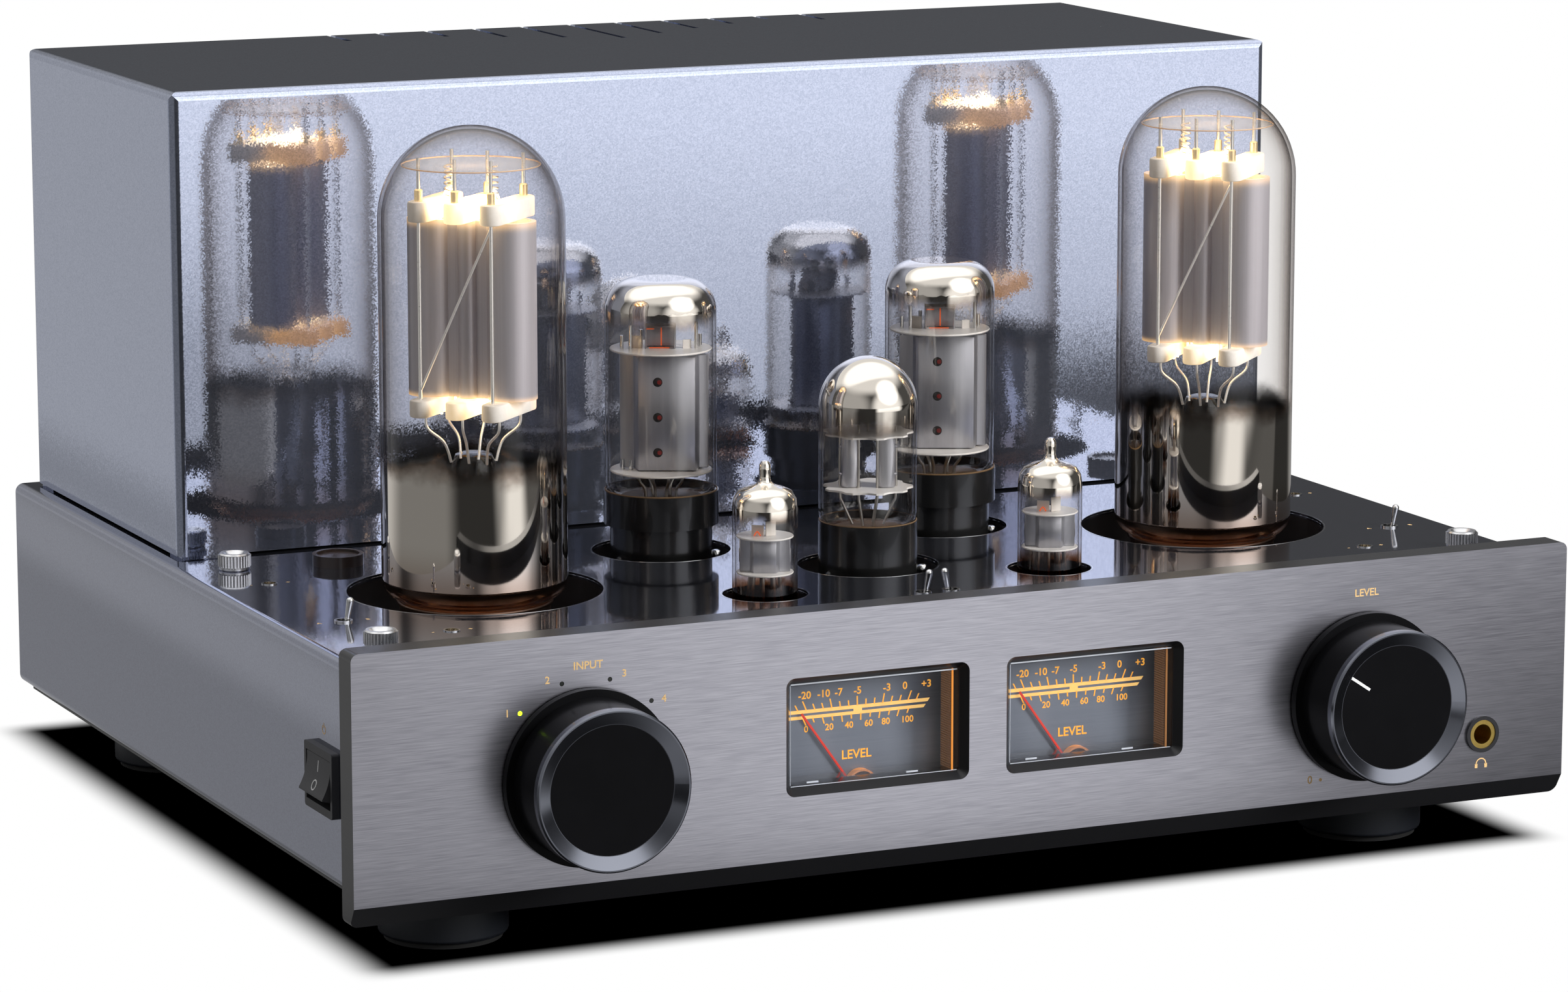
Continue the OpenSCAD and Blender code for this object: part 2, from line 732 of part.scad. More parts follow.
module bottom_plate() {
    vent_w = 3;
    vent_l = 60;
    vent_pitch = 24;
    color("dimgray") difference() {
        translate([0, (plate_t + rear_y) / 2, foot_h]) linear_extrude(bottom_t)
            rounded(chassis_w - 2 * bottom_inset, chassis_d - 2 * bottom_inset, bend_r);
        for (p = foot_places) rod_z(p, foot_screw_r + run_fit, foot_h - eps, side_bottom + eps);
        for (i = [-4 : 4], y = [power_y, can_y])
            block([i * vent_pitch - vent_w / 2, y - vent_l / 2, foot_h - eps],
                [i * vent_pitch + vent_w / 2, y + vent_l / 2, side_bottom + eps]);
        screw_cuts(bottom_screws);
    }
}

// Box with rounded upright and upper edges, its lower edge at z0
module cover_block(w, y0, y1, z0, z1, r) {
    intersection() {
        translate([0, (y0 + y1) / 2, z0]) linear_extrude(z1 - z0) rounded(w, y1 - y0, r);
        slab(y0, y1) translate([0, (z0 - r + z1) / 2]) rounded(w, z1 - z0 + r, r);
        bar(-w / 2, w / 2) translate([(y0 + y1) / 2, (z0 - r + z1) / 2]) rounded(y1 - y0, z1 - z0 + r, r);
    }
}

module transformer_cover() {
    low = deck_z + cover_gap;
    top = deck_z + cover_h;
    color("lightsteelblue") difference() {
        union() {
            difference() {
                cover_block(cover_w, cover_front, cover_back, low, top, bend_r);
                cover_block(cover_w - 2 * cover_t, cover_front + cover_t, cover_back - cover_t, low - eps,
                    top - cover_t, bend_r - cover_t);
            }
            for (s = cover_screws)
                block([s[0][0] - tab / 2 - run_fit, s[0][1] - tab / 2 - run_fit, deck_z],
                    [s[0][0] + tab / 2 + run_fit, s[0][1] + tab / 2 + run_fit, deck_z + tab_t]);
        }
        for (i = [0 : slot_count - 1])
            block([(i - slot_mid) * slot_pitch - slot_w / 2, cover_back - slot_len(i), top - slot_len(i) / 2],
                [(i - slot_mid) * slot_pitch + slot_w / 2, cover_back + eps, top + eps]);
        screw_cuts(cover_screws);
    }
}

module feet() {
    color("black") for (p = foot_places) difference() {
        translate(p) rotate_extrude() bulb(foot_r, pad_h, foot_h, 0.6, 1.2);
        rod_z(p, screw_head_r + 1.2, pad_h - eps, foot_h - foot_floor);
        rod_z(p, foot_screw_r + run_fit, pad_h, foot_h + eps);
    }
}

module foot_pads() {
    color("dimgray") for (p = foot_places) difference() {
        rod_z(p, foot_r - 1.8, 0, pad_h);
        rod_z(p, screw_head_r + 1.2, -eps, pad_h + eps);
    }
}

module foot_screws() {
    color("silver") for (p = foot_places) translate([p[0], p[1], foot_h - foot_floor])
        screw_shape(foot_screw_r, foot_floor + bottom_t + 3);
}

module panel_screws() {
    color("silver") for (s = all_screws) translate(s[0]) rotate(s[1]) screw_shape(screw_r, screw_l);
}

// Inside pieces

module transformer(x, w) {
    difference() {
        translate([x, can_y, deck_z]) linear_extrude(can_h) rounded(w, can_d, 6);
        screw_cuts(transformer_screws);
    }
}
module mains_transformer() {
    color("black") transformer(0, mains_w);
}
module output_transformer_left() {
    color("black") transformer(-output_x, output_w);
}
module output_transformer_right() {
    color("black") transformer(output_x, output_w);
}

module circuit_board() {
    color("darkgreen") difference() {
        block([-board_w / 2, board_front, board_top - board_t], [board_w / 2, board_back, board_top]);
        screw_cuts(board_screws);
    }
}

module filter_capacitors() {
    mid = (board_front + board_back) / 2;
    color("navy") for (sx = [-1, 1], sy = [-1, 1])
        rod_z([sx * capacitor_x, mid + sy * 2 * capacitor_r], capacitor_r, board_top - board_t - capacitor_l,
            board_top - board_t);
}

// Valve sockets: a tray under the deck with a floor that takes the pins

module socket_tray(hole_r, depth, pins, pin_circle, pin_r, key_r) {
    rim_w = 6;
    wall = 1.5;
    low = -(sheet + depth);
    difference() {
        rotate_extrude() {
            translate([hole_r, -sheet - wall]) square([rim_w, wall]);
            translate([hole_r, low - socket_floor]) square([wall, depth + socket_floor]);
            translate([0, low - socket_floor]) square([hole_r + wall, socket_floor]);
        }
        ring_of(pins, pin_circle) translate([0, 0, low - socket_floor - eps])
            cylinder(r = pin_r + seat_fit, h = socket_floor + 2 * eps);
        translate([0, 0, low - socket_floor - eps]) cylinder(r = key_r, h = socket_floor + 2 * eps);
    }
}

module power_valve_sockets() {
    vent_r = 6;
    vent_count = 6;
    color("dimgray") on_deck(power_places) difference() {
        socket_tray(power_hole_r, tray_depth, 4, power_pin_circle, power_pin_r, 6);
        ring_of(vent_count, (power_hole_r + power_base_r) / 2)
            translate([0, 0, power_foot - socket_floor - eps])
            cylinder(r = vent_r, h = socket_floor + 2 * eps);
    }
}
module octal_sockets() {
    color("dimgray") on_deck(octal_places)
        socket_tray(octal_hole_r, well_depth, 8, octal_pin_circle, octal_pin_r, 4);
}
module small_valve_sockets() {
    color("dimgray") on_deck(small_places)
        socket_tray(small_hole_r, well_depth, 9, small_pin_circle, small_pin_r, 3);
}

// Power valves

module power_valve_glasses() {
    color("lightgray", 0.3) on_deck(power_places) rotate_extrude() difference() {
        bulb(power_r, power_low, power_h, power_r, 7);
        bulb(power_r - power_wall, power_low + power_wall, power_h - power_wall, power_r - power_wall, 6);
        translate([0, power_low - eps]) square([power_mouth_r, power_wall + 2 * eps]);
    }
}

module power_valve_bases() {
    color("saddlebrown") on_deck(power_places) {
        translate([0, 0, power_foot]) cylinder(r = power_base_r, h = power_low - power_foot);
        ring_of(4, power_pin_circle) translate([0, 0, power_foot - pin_l])
            cylinder(r = power_pin_r, h = pin_l + eps);
    }
}

// Graphite anode: a round lobe at each end, a web between them and a rib down each face
module anode_outline() {
    lobe_x = power_anode_r - lobe_r;
    difference() {
        union() {
            square([2 * lobe_x, anode_web], center = true);
            for (sx = [-1, 1]) translate([sx * lobe_x, 0]) circle(lobe_r);
            for (sy = [-1, 1]) translate([0, sy * anode_web / 2]) circle(anode_rib_r);
        }
        square([2 * lobe_x, anode_web - 2 * anode_wall], center = true);
        for (sx = [-1, 1]) translate([sx * lobe_x, 0]) circle(lobe_r - anode_wall);
    }
}
module power_valve_anodes() {
    color("dimgray") on_deck(power_places) translate([0, 0, power_anode_up]) rotate(power_turn)
        linear_extrude(power_anode_h) anode_outline();
}

// Ceramic carrier of the electrodes: a bar with round ends across the valve
module ceramic_bar(x, z) {
    translate([x, 0, z]) linear_extrude(ceramic_h) {
        square([ceramic_w, 2 * ceramic_end], center = true);
        for (sy = [-1, 1]) translate([0, sy * ceramic_end]) circle(ceramic_w / 2);
    }
}
module power_valve_frames() {
    top = power_anode_up + power_anode_h;
    low = power_anode_up - ceramic_h;
    color("linen") on_deck(power_places) rotate(power_turn) {
        for (x = ceramic_places) {
            ceramic_bar(x, top);
            ceramic_bar(x, low);
        }
        for (z = [top + carrier_up, low + carrier_up]) translate([0, 0, z]) linear_extrude(carrier_t)
            square([2 * ceramic_pitch, carrier_w], center = true);
        for (x = ceramic_places, sy = [-1, 1])
            rod_z([x, sy * ceramic_end], rod_r, top, mica_z + mica_t);
        for (sx = [-1, 1], sy = [-1, 1])
            rod_z([sx * ceramic_pitch, sy * ceramic_end], rod_r, power_anode_up - eps, top + eps);
        translate([0, 0, mica_z]) cylinder(r = mica_r, h = mica_t);
        for (x = lead_places, sy = [-1, 1])
            rod_z([x, sy * lead_y], rod_r, stem_top - eps, low + carrier_up + eps);
        translate([0, 0, power_low]) cylinder(r = stem_r, h = stem_top - power_low);
    }
}

// Driver valves

module driver_valve_glasses() {
    low = driver_base_up - rim_depth;
    shoulder = 10;
    low_r = 7;
    color("lightgray", 0.3) on_deck(driver_places) rotate_extrude() difference() {
        bulb(driver_r, low, driver_h, shoulder, low_r);
        bulb(driver_r - valve_wall, low + valve_wall, driver_h - valve_wall, shoulder - valve_wall,
            low_r - valve_wall);
        translate([0, low - eps]) square([octal_pin_circle, valve_wall + 2 * eps]);
    }
}

// Octal base: pins, key and a cup that takes the glass
module octal_base(low_r, cup_r, top, step, cup_bore) {
    difference() {
        union() {
            translate([0, 0, well_floor]) cylinder(r = low_r, h = top - well_floor);
            translate([0, 0, top - step]) cylinder(r = cup_r, h = step);
        }
        translate([0, 0, top - rim_depth]) cylinder(r = cup_bore, h = rim_depth + eps);
    }
    ring_of(8, octal_pin_circle) translate([0, 0, well_floor - pin_l])
        cylinder(r = octal_pin_r, h = pin_l + eps);
    translate([0, 0, well_floor - pin_l]) cylinder(r = 3.8, h = pin_l + eps);
}
module driver_valve_bases() {
    color("black") on_deck(driver_places)
        octal_base(driver_base_r, driver_cup_r, driver_base_up, cup_step, driver_r - 0.55);
}

// Disc of mica with its edge inside the glass
module mica(r, z) {
    translate([0, 0, z]) cylinder(r = r, h = 0.6);
}

module driver_valve_anodes() {
    low = driver_base_up + 6;
    tall = 38;
    hole_r = 1.4;
    color("gray") on_deck(driver_places) rotate(valve_turn) {
        difference() {
            union() {
                translate([0, 0, low]) linear_extrude(tall) {
                    rounded(driver_anode_w, 3, 1);
                    rounded(driver_anode_w - 10, 14, 3);
                }
                mica(driver_r - 1.5, low);
                mica(driver_r - 1.5, low + tall);
                translate([-5, -4, low + tall]) cube([10, 8, 8]);
            }
            for (i = [0 : 2])
                translate([-1.8, 0, low + 7 + i * 11.6]) rotate([90, 0, 0]) cylinder(r = hole_r, h = 20);
        }
        ring_of(4, octal_pin_circle - 2) translate([0, 0, driver_base_up - rim_depth])
            cylinder(r = 0.6, h = low - driver_base_up + rim_depth + 0.3);
    }
}

// Centre valve: a twin triode

module centre_valve_glass() {
    low = centre_base_up - rim_depth;
    low_r = 7;
    color("lightgray", 0.3) on_deck([[0, centre_y]]) rotate_extrude() difference() {
        bulb(centre_r, low, centre_h, centre_r, low_r);
        bulb(centre_r - valve_wall, low + valve_wall, centre_h - valve_wall, centre_r - valve_wall,
            low_r - valve_wall);
        translate([0, low - eps]) square([6, valve_wall + 2 * eps]);
    }
}
module centre_valve_base() {
    color("black") on_deck([[0, centre_y]])
        octal_base(centre_base_r, centre_base_r, centre_base_up, cup_step, centre_r - 0.5);
}
module centre_valve_anodes() {
    low = centre_base_up + 10;
    tall = 18;
    color("gray") on_deck([[0, centre_y]]) rotate(valve_turn) {
        for (sx = [-1, 1]) translate([sx * 5.6, 0, low]) linear_extrude(tall) rounded(8, 9, 1.5);
        mica(centre_r - 1.3, low);
        mica(centre_r - 1.3, low + tall);
        ring_of(4, 4.6) translate([0, 0, centre_base_up - rim_depth])
            cylinder(r = 0.6, h = low - centre_base_up + rim_depth + 0.3);
    }
}

// Small all-glass valves

module small_valve_glasses() {
    shoulder = 4.5;
    pip_r = 1.9;
    color("lightgray", 0.3) on_deck(small_places) rotate_extrude() difference() {
        union() {
            bulb(small_r, well_floor, small_h, shoulder, 1);
            bulb(pip_r, small_h - 2, small_h + pip_h, pip_r, 0.3);
        }
        bulb(small_r - valve_wall, well_floor + valve_wall, small_h - valve_wall, shoulder - valve_wall, 0.5);
        translate([0, well_floor - eps]) square([small_pin_circle + 1.2, valve_wall + 2 * eps]);
    }
}
module small_valve_frames() {
    low = 6;
    tall = 12;
    button_r = small_pin_circle + 1.1;
    color("gray") on_deck(small_places) {
        translate([0, 0, well_floor]) cylinder(r = button_r, h = 2);
        ring_of(9, small_pin_circle) {
            translate([0, 0, well_floor - pin_l]) cylinder(r = small_pin_r, h = pin_l + eps);
            translate([0, 0, well_floor]) cylinder(r = small_pin_r, h = low - well_floor + 0.3);
        }
        translate([0, 0, low]) rotate(valve_turn) linear_extrude(tall) rounded(small_anode_w, 9, 3);
        mica(small_r - 1.2, low);
        mica(small_r - 1.2, low + tall);
    }
}

// Front controls

module knob(x) {
    edge = 0.5;
    rim = 0.9;
    shoulder = knob_gap + knob_base_h;
    translate([x, 0, knob_z]) rotate([90, 0, 0]) difference() {
        rotate_extrude() polygon([[0, knob_gap], [knob_base_r, knob_gap], [knob_base_r, shoulder],
            [knob_r, shoulder], [knob_r, knob_reach - edge], [knob_r - edge, knob_reach],
            [knob_r - rim, knob_reach], [disc_r, knob_reach - dish_d], [0, knob_reach - dish_d]]);
        cylinder(r = shaft_d / 2 + run_fit, h = knob_bore);
    }
}
module control_shaft(x) {
    rod_y(x, knob_z, shaft_d / 2, seat_fit - knob_bore, wall_back + shaft_in);
}
module rotary_body(x, r, l) {
    difference() {
        union() {
            rod_y(x, knob_z, r, wall_back, wall_back + l);
            rod_y(x, knob_z, control_bush_r, bush_back, wall_back + eps);
        }
        rod_y(x, knob_z, shaft_d / 2 + run_fit, 0, wall_back + shaft_in + seat_fit);
    }
}
module selector_knob() {
    color("black") knob(-knob_x);
}
module selector_shaft() {
    color("silver") control_shaft(-knob_x);
}
module selector_switch() {
    color("gray") rotary_body(-knob_x, 14, 20);
}
module volume_knob() {
    color("black") knob(knob_x);
}
module volume_shaft() {
    color("silver") control_shaft(knob_x);
}
module volume_control() {
    color("gray") rotary_body(knob_x, 12.5, 24);
}

module headphone_socket() {
    proud = 0.6;
    body = 13;
    color("gold") difference() {
        union() {
            rod_y(jack_x, jack_z, bush_r, -proud, wall_back + eps);
            block([jack_x - body / 2, wall_back, jack_z - body / 2],
                [jack_x + body / 2, wall_back + 26, jack_z + body / 2]);
        }
        rod_y(jack_x, jack_z, jack_r, -proud - eps, wall_back + 22);
    }
}
module headphone_ring() {
    color("black") difference() {
        rod_y(jack_x, jack_z, ring_r, -1, 0);
        rod_y(jack_x, jack_z, bush_r + run_fit, -1 - eps, eps);
    }
}

module input_lamps() {
    color("greenyellow") for (i = [0 : 3]) {
        rod_y(lamp_place(i)[0], lamp_place(i)[1], lamp_r, 0.1, wall_back + eps);
        rod_y(lamp_place(i)[0], lamp_place(i)[1], lamp_head_r, wall_back, wall_back + 5);
    }
}

// Meters

module meter_cases() {
    color("black") for (sx = [-1, 1]) difference() {
        slab(case_front, case_front + meter_d) translate([sx * meter_x, case_z])
            rounded(case_w, case_h, bend_r);
        slab(case_front - eps, dial_y + dial_t) translate([sx * meter_x, case_z])
            rounded(case_w - 2 * case_wall, case_h - 2 * case_wall, 1.5);
        rod_y(sx * meter_x, pivot_z, pivot_r + run_fit, dial_y, dial_y + 9);
    }
}
module meter_dials() {
    color("slategray") for (sx = [-1, 1]) difference() {
        slab(dial_y, dial_y + dial_t) translate([sx * meter_x, case_z])
            rounded(case_w - 2 * (case_wall + seat_fit), case_h - 2 * (case_wall + seat_fit), 1.5);
        rod_y(sx * meter_x, pivot_z, pivot_r + 0.5, dial_y - eps, dial_y + dial_t + eps);
    }
}
module meter_lenses() {
    color("white", 0.3) for (sx = [-1, 1]) difference() {
        union() {
            slab(lens_front, plate_t + eps) translate([sx * meter_x, meter_z])
                rounded(lens_w, lens_h, lens_r);
            slab(plate_t, case_front) translate([sx * meter_x, case_z]) rounded(case_w, case_h, bend_r);
        }
        slab(lens_front + lens_t, case_front + eps) translate([sx * meter_x, meter_z])
            square([lens_w - 2 * lens_t, lens_h - 2 * lens_t], center = true);
    }
}
module meter_needle(x) {
    tail = 5;
    color("red") {
        rod_y(x, pivot_z, pivot_r, needle_y - 0.4, dial_y + 8);
        rod_y(x, pivot_z, hub_r, needle_y - 0.4, needle_y + 0.7);
        translate([x, needle_y, pivot_z]) rotate([0, -needle_zero, 0])
            translate([-needle_w / 2, 0, -tail]) cube([needle_w, needle_t, needle_l + tail]);
    }
}
module meter_needle_left() {
    meter_needle(-meter_x);
}
module meter_needle_right() {
    meter_needle(meter_x);
}

// Power switch on the left side

module power_switch() {
    color("black") difference() {
        union() {
            bar(bezel_x, side_x) translate([switch_y, switch_z]) rounded(bezel_w, bezel_h, 1);
            bar(bezel_x + eps, side_x + switch_depth) translate([switch_y, switch_z])
                square([switch_body_w, switch_body_h], center = true);
        }
        bar(bezel_x - eps, side_x + switch_depth - 3) translate([switch_y, switch_z])
            square([opening_w, 2 * opening_half], center = true);
        translate([rocker_x, switch_y - switch_body_w / 2 - eps, switch_z]) rotate([-90, 0, 0])
            cylinder(r = rocker_pin_r + run_fit, h = switch_body_w + 2 * eps);
    }
}

// Rocker with a hollow face, tilted so that its upper end is pressed in
module power_rocker() {
    hollow_r = 19;
    sink = 0.8;
    heel = 3;
    color("black") translate([rocker_x, switch_y, switch_z]) rotate([0, rocker_tilt, 0]) {
        translate([0, rocker_w / 2, 0]) rotate([90, 0, 0]) linear_extrude(rocker_w) difference() {
            polygon([[-rocker_face, rocker_half], [-rocker_face, -rocker_half], [0, -rocker_half],
                [heel, -heel], [heel, heel], [0, rocker_half]]);
            translate([-rocker_face - hollow_r + sink, 0]) circle(hollow_r);
        }
        translate([0, -switch_body_w / 2 + seat_fit, 0]) rotate([-90, 0, 0])
            cylinder(r = rocker_pin_r, h = switch_body_w - 2 * seat_fit);
    }
}

// Deck fittings

module toggle_bodies() {
    color("silver") on_deck(toggle_places) difference() {
        union() {
            translate([0, 0, -sheet - eps]) cylinder(r = toggle_bush_r, h = sheet + eps + 0.5);
            translate([-toggle_body / 2, -toggle_body / 2, -sheet - toggle_body])
                cube([toggle_body, toggle_body, toggle_body]);
        }
        translate([0, 0, toggle_pivot - 3]) cylinder(r = toggle_bore, h = sheet - toggle_pivot + 3 + eps);
        translate([0, -toggle_body / 2 + trunnion_in, toggle_pivot]) rotate([-90, 0, 0])
            cylinder(r = toggle_r + run_fit, h = toggle_body - 2 * trunnion_in);
    }
}

// Lever with a bat end, leaning to one side of its pivot
module toggle_lever(p, lean) {
    bat = 5;
    ball_z = toggle_h - toggle_pivot - toggle_tip_r;
    color("silver") on_deck([p]) translate([0, 0, toggle_pivot]) {
        rotate([0, lean, 0]) rotate_extrude() {
            polygon([[0, 0], [toggle_r, 0], [toggle_r, ball_z - bat], [toggle_tip_r, ball_z], [0, ball_z]]);
            intersection() {
                translate([0, ball_z]) circle(toggle_tip_r);
                translate([0, ball_z - run_fit]) square([toggle_tip_r, toggle_tip_r + run_fit]);
            }
        }
        translate([0, -toggle_body / 2 + trunnion_in + seat_fit, 0]) rotate([-90, 0, 0])
            cylinder(r = toggle_r, h = toggle_body - 2 * (trunnion_in + seat_fit));
    }
}
module toggle_lever_left() {
    toggle_lever(toggle_places[0], toggle_tilt);
}
module toggle_lever_right() {
    toggle_lever(toggle_places[1], toggle_tilt);
}
module toggle_lever_centre_left() {
    toggle_lever(toggle_places[2], toggle_tilt);
}
module toggle_lever_centre_right() {
    toggle_lever(toggle_places[3], -toggle_tilt);
}

module trimmer_bodies() {
    color("silver") on_deck(trim_places) difference() {
        union() {
            translate([0, 0, -sheet - eps]) cylinder(r = trim_ring_r, h = sheet + eps + 0.3);
            translate([-trim_body / 2, -trim_body / 2, -sheet - trim_body])
                cube([trim_body, trim_body, trim_body]);
        }
        translate([0, 0, -trim_body]) cylinder(r = trim_r + run_fit, h = trim_body + 1);
    }
}
module trimmer_screw(p) {
    slot = 0.7;
    color("goldenrod") on_deck([p]) difference() {
        translate([0, 0, 0.1 - trim_body]) cylinder(r = trim_r, h = trim_body - 0.9);
        translate([-trim_r, -slot / 2, -1.8]) cube([2 * trim_r, slot, 2]);
    }
}

module trimmer_screw_back_left() {
    trimmer_screw(trim_places[0]);
}
module trimmer_screw_front_left() {
    trimmer_screw(trim_places[1]);
}
module trimmer_screw_front_right() {
    trimmer_screw(trim_places[2]);
}
module trimmer_screw_back_right() {
    trimmer_screw(trim_places[3]);
}

module guard_sockets() {
    dish = 1.5;
    color("gainsboro") on_deck(guard_places) difference() {
        union() {
            cylinder(r = guard_r, h = guard_h);
            translate([0, 0, -sheet - guard_nut_h]) cylinder(r = guard_stem_r, h = sheet + guard_nut_h + eps);
            translate([0, 0, -sheet - guard_nut_h]) cylinder(r = guard_nut_r, h = guard_nut_h);
        }
        translate([0, 0, -sheet - guard_nut_h - eps])
            cylinder(r = guard_bore, h = guard_h + sheet + guard_nut_h + 2 * eps);
        translate([0, 0, guard_h - dish]) cylinder(r1 = guard_bore, r2 = guard_bore + dish, h = dish + 0.001);
    }
}

module deck_caps() {
    lip = 1.4;
    color("saddlebrown") for (sx = [-1, 1]) translate([sx * cap_x, cap_y, deck_z]) {
        difference() {
            cylinder(r = cap_r, h = cap_h);
            translate([0, 0, cap_h - 0.8]) cylinder(r = cap_r - lip, h = 0.8 + eps);
        }
        translate([0, 0, -sheet - 2]) cylinder(r = cap_stem_r, h = sheet + 2 + eps);
    }
}

// Rear connectors

module speaker_posts() {
    color("gold") for (p = post_places) difference() {
        union() {
            rod_y(p[0], p[1], post_flange_r, rear_y, rear_y + post_flange_h);
            rod_y(p[0], p[1], post_barrel_r, rear_y + post_flange_h - eps, rear_y + post_reach);
            rod_y(p[0], p[1], post_stem_r, panel_front - 8, rear_y + eps);
        }
        rod_y(p[0], p[1], post_bore, rear_y + 4, rear_y + post_reach + eps);
    }
}
module line_sockets() {
    color("gold") for (p = line_places) difference() {
        union() {
            rod_y(p[0], p[1], line_flange_r, rear_y, rear_y + 1.5);
            rod_y(p[0], p[1], line_r, rear_y + 1, rear_y + line_reach);
            rod_y(p[0], p[1], line_stem_r, panel_front - 8, rear_y + eps);
        }
        rod_y(p[0], p[1], line_bore, rear_y + 1, rear_y + line_reach + eps);
    }
}
module mains_inlet() {
    floor_y = rear_y - inlet_deep;
    color("black") {
        difference() {
            union() {
                slab(rear_y, rear_y + 2) translate([inlet_x, rear_z])
                    rounded(inlet_w + 2 * inlet_flange, inlet_h + 4 * inlet_wall, 3);
                slab(floor_y - inlet_wall, rear_y + eps) translate([inlet_x, rear_z])
                    square([inlet_w + 2 * inlet_wall, inlet_h + 2 * inlet_wall], center = true);
            }
            slab(floor_y, rear_y + 2 + eps) translate([inlet_x, rear_z])
                square([inlet_w, inlet_h], center = true);
        }
        for (p = [[-7, -2], [7, -2], [0, 2]])
            slab(floor_y - eps, floor_y + inlet_pin) translate([inlet_x + p[0], rear_z + p[1]])
                square([2, 4], center = true);
    }
}

placed() faceplate();
placed() chassis_shell();
placed() rear_panel();
placed() bottom_plate();
placed() transformer_cover();
placed() feet();
placed() foot_pads();
placed() foot_screws();
placed() panel_screws();
placed() mains_transformer();
placed() output_transformer_left();
placed() output_transformer_right();
placed() circuit_board();
placed() filter_capacitors();
placed() power_valve_sockets();
placed() octal_sockets();
placed() small_valve_sockets();
placed() power_valve_glasses();
placed() power_valve_bases();
placed() power_valve_anodes();
placed() power_valve_frames();
placed() driver_valve_glasses();
placed() driver_valve_bases();
placed() driver_valve_anodes();
placed() centre_valve_glass();
placed() centre_valve_base();
placed() centre_valve_anodes();
placed() small_valve_glasses();
placed() small_valve_frames();
placed() selector_knob();
placed() selector_shaft();
placed() selector_switch();
placed() volume_knob();
placed() volume_shaft();
placed() volume_control();
placed() headphone_socket();
placed() headphone_ring();
placed() input_lamps();
placed() meter_cases();
placed() meter_dials();
placed() meter_lenses();
placed() meter_needle_left();
placed() meter_needle_right();
placed() power_switch();
placed() power_rocker();
placed() toggle_lever_left();
placed() toggle_lever_right();
placed() toggle_lever_centre_left();
placed() toggle_lever_centre_right();
placed() toggle_bodies();
placed() trimmer_screw_back_left();
placed() trimmer_screw_front_left();
placed() trimmer_screw_front_right();
placed() trimmer_screw_back_right();
placed() trimmer_bodies();
placed() guard_sockets();
placed() deck_caps();
placed() line_sockets();
placed() speaker_posts();
placed() mains_inlet();
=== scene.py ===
"""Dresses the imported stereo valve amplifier: finishes, valve insides, prints, studio and camera."""
import math

import bmesh
import bpy
from mathutils import Matrix, Vector


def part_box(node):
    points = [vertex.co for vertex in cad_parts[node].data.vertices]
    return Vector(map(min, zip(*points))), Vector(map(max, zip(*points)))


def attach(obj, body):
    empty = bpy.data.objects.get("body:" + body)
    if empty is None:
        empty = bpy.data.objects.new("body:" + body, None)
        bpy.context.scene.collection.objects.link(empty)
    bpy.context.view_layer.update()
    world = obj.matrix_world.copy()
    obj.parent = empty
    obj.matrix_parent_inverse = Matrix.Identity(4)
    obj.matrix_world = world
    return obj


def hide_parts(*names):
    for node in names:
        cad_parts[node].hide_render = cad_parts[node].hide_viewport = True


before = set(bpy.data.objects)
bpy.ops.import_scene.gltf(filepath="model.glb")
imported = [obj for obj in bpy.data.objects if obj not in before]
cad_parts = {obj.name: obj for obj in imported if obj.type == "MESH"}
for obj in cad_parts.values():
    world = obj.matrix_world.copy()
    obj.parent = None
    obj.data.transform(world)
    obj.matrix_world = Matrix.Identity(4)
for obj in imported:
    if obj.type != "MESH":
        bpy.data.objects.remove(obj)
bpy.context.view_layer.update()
scene = bpy.context.scene
scene.view_settings.view_transform = "Standard"

# Lengths below are millimetres; the scene is in metres
MM = 0.001
AMPLIFIER = "amplifier"

# Places taken from the solids
shell_low, shell_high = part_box("chassis_shell")
deck_top = shell_high.z
plate_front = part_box("faceplate")[0].y

# Half the width of a meter's lens, and how far a knob's disc stands before the plate's face
LENS_HALF_W = 33.75
KNOB_FACE = 20


def middle(node):
    """Middle of a node's box."""
    low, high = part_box(node)
    return (low + high) / 2


def pair_of(node):
    """Middles of a left and a right round piece that one node holds."""
    low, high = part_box(node)
    radius = (high.y - low.y) / 2
    across = (low.y + high.y) / 2
    return [(low.x + radius, across), (high.x - radius, across)]


power_places = pair_of("power_valve_glasses")
driver_places = pair_of("driver_valve_glasses")
small_places = pair_of("small_valve_glasses")
centre_place = (0, middle("centre_valve_glass").y)
selector = middle("selector_knob")
volume = middle("volume_knob")
jack = middle("headphone_ring")
meter_places = [side * (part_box("meter_lenses")[1].x - LENS_HALF_W * MM) for side in (-1, 1)]

# Turns of the valves' insides about the upright axis, in degrees
POWER_TURN = -46
VALVE_TURN = -25

# Power valve heights above the deck and places of its ceramic bars
ANODE_LOW = 61.9
ANODE_TOP = 117.9
CERAMIC_H = 6.5
BAR_PLACES = (-12.3, 0, 12.3)
BAR_END = 12.5
BAR_R = 3.5
MICA_Z = 134.7
MICA_R = 21.6
STEM_TOP = 44

# Colours, in linear light
BLACK = (0.008, 0.008, 0.009, 1)
WHITE = (0.9, 0.9, 0.9, 1)
GOLD_PRINT = (0.75, 0.48, 0.2, 1)


def on_deck(place, turn=0):
    """Frame of a piece that stands on the deck, in millimetres."""
    return (Matrix.Translation((place[0], place[1], deck_top))
            @ Matrix.Rotation(math.radians(turn), 4, "Z") @ Matrix.Scale(MM, 4))


def on_plate(x=0, z=0, y=0):
    """Frame on the front plate's face, in millimetres, with x and z given in metres."""
    return Matrix.Translation((x, plate_front + y * MM, z)) @ Matrix.Scale(MM, 4)


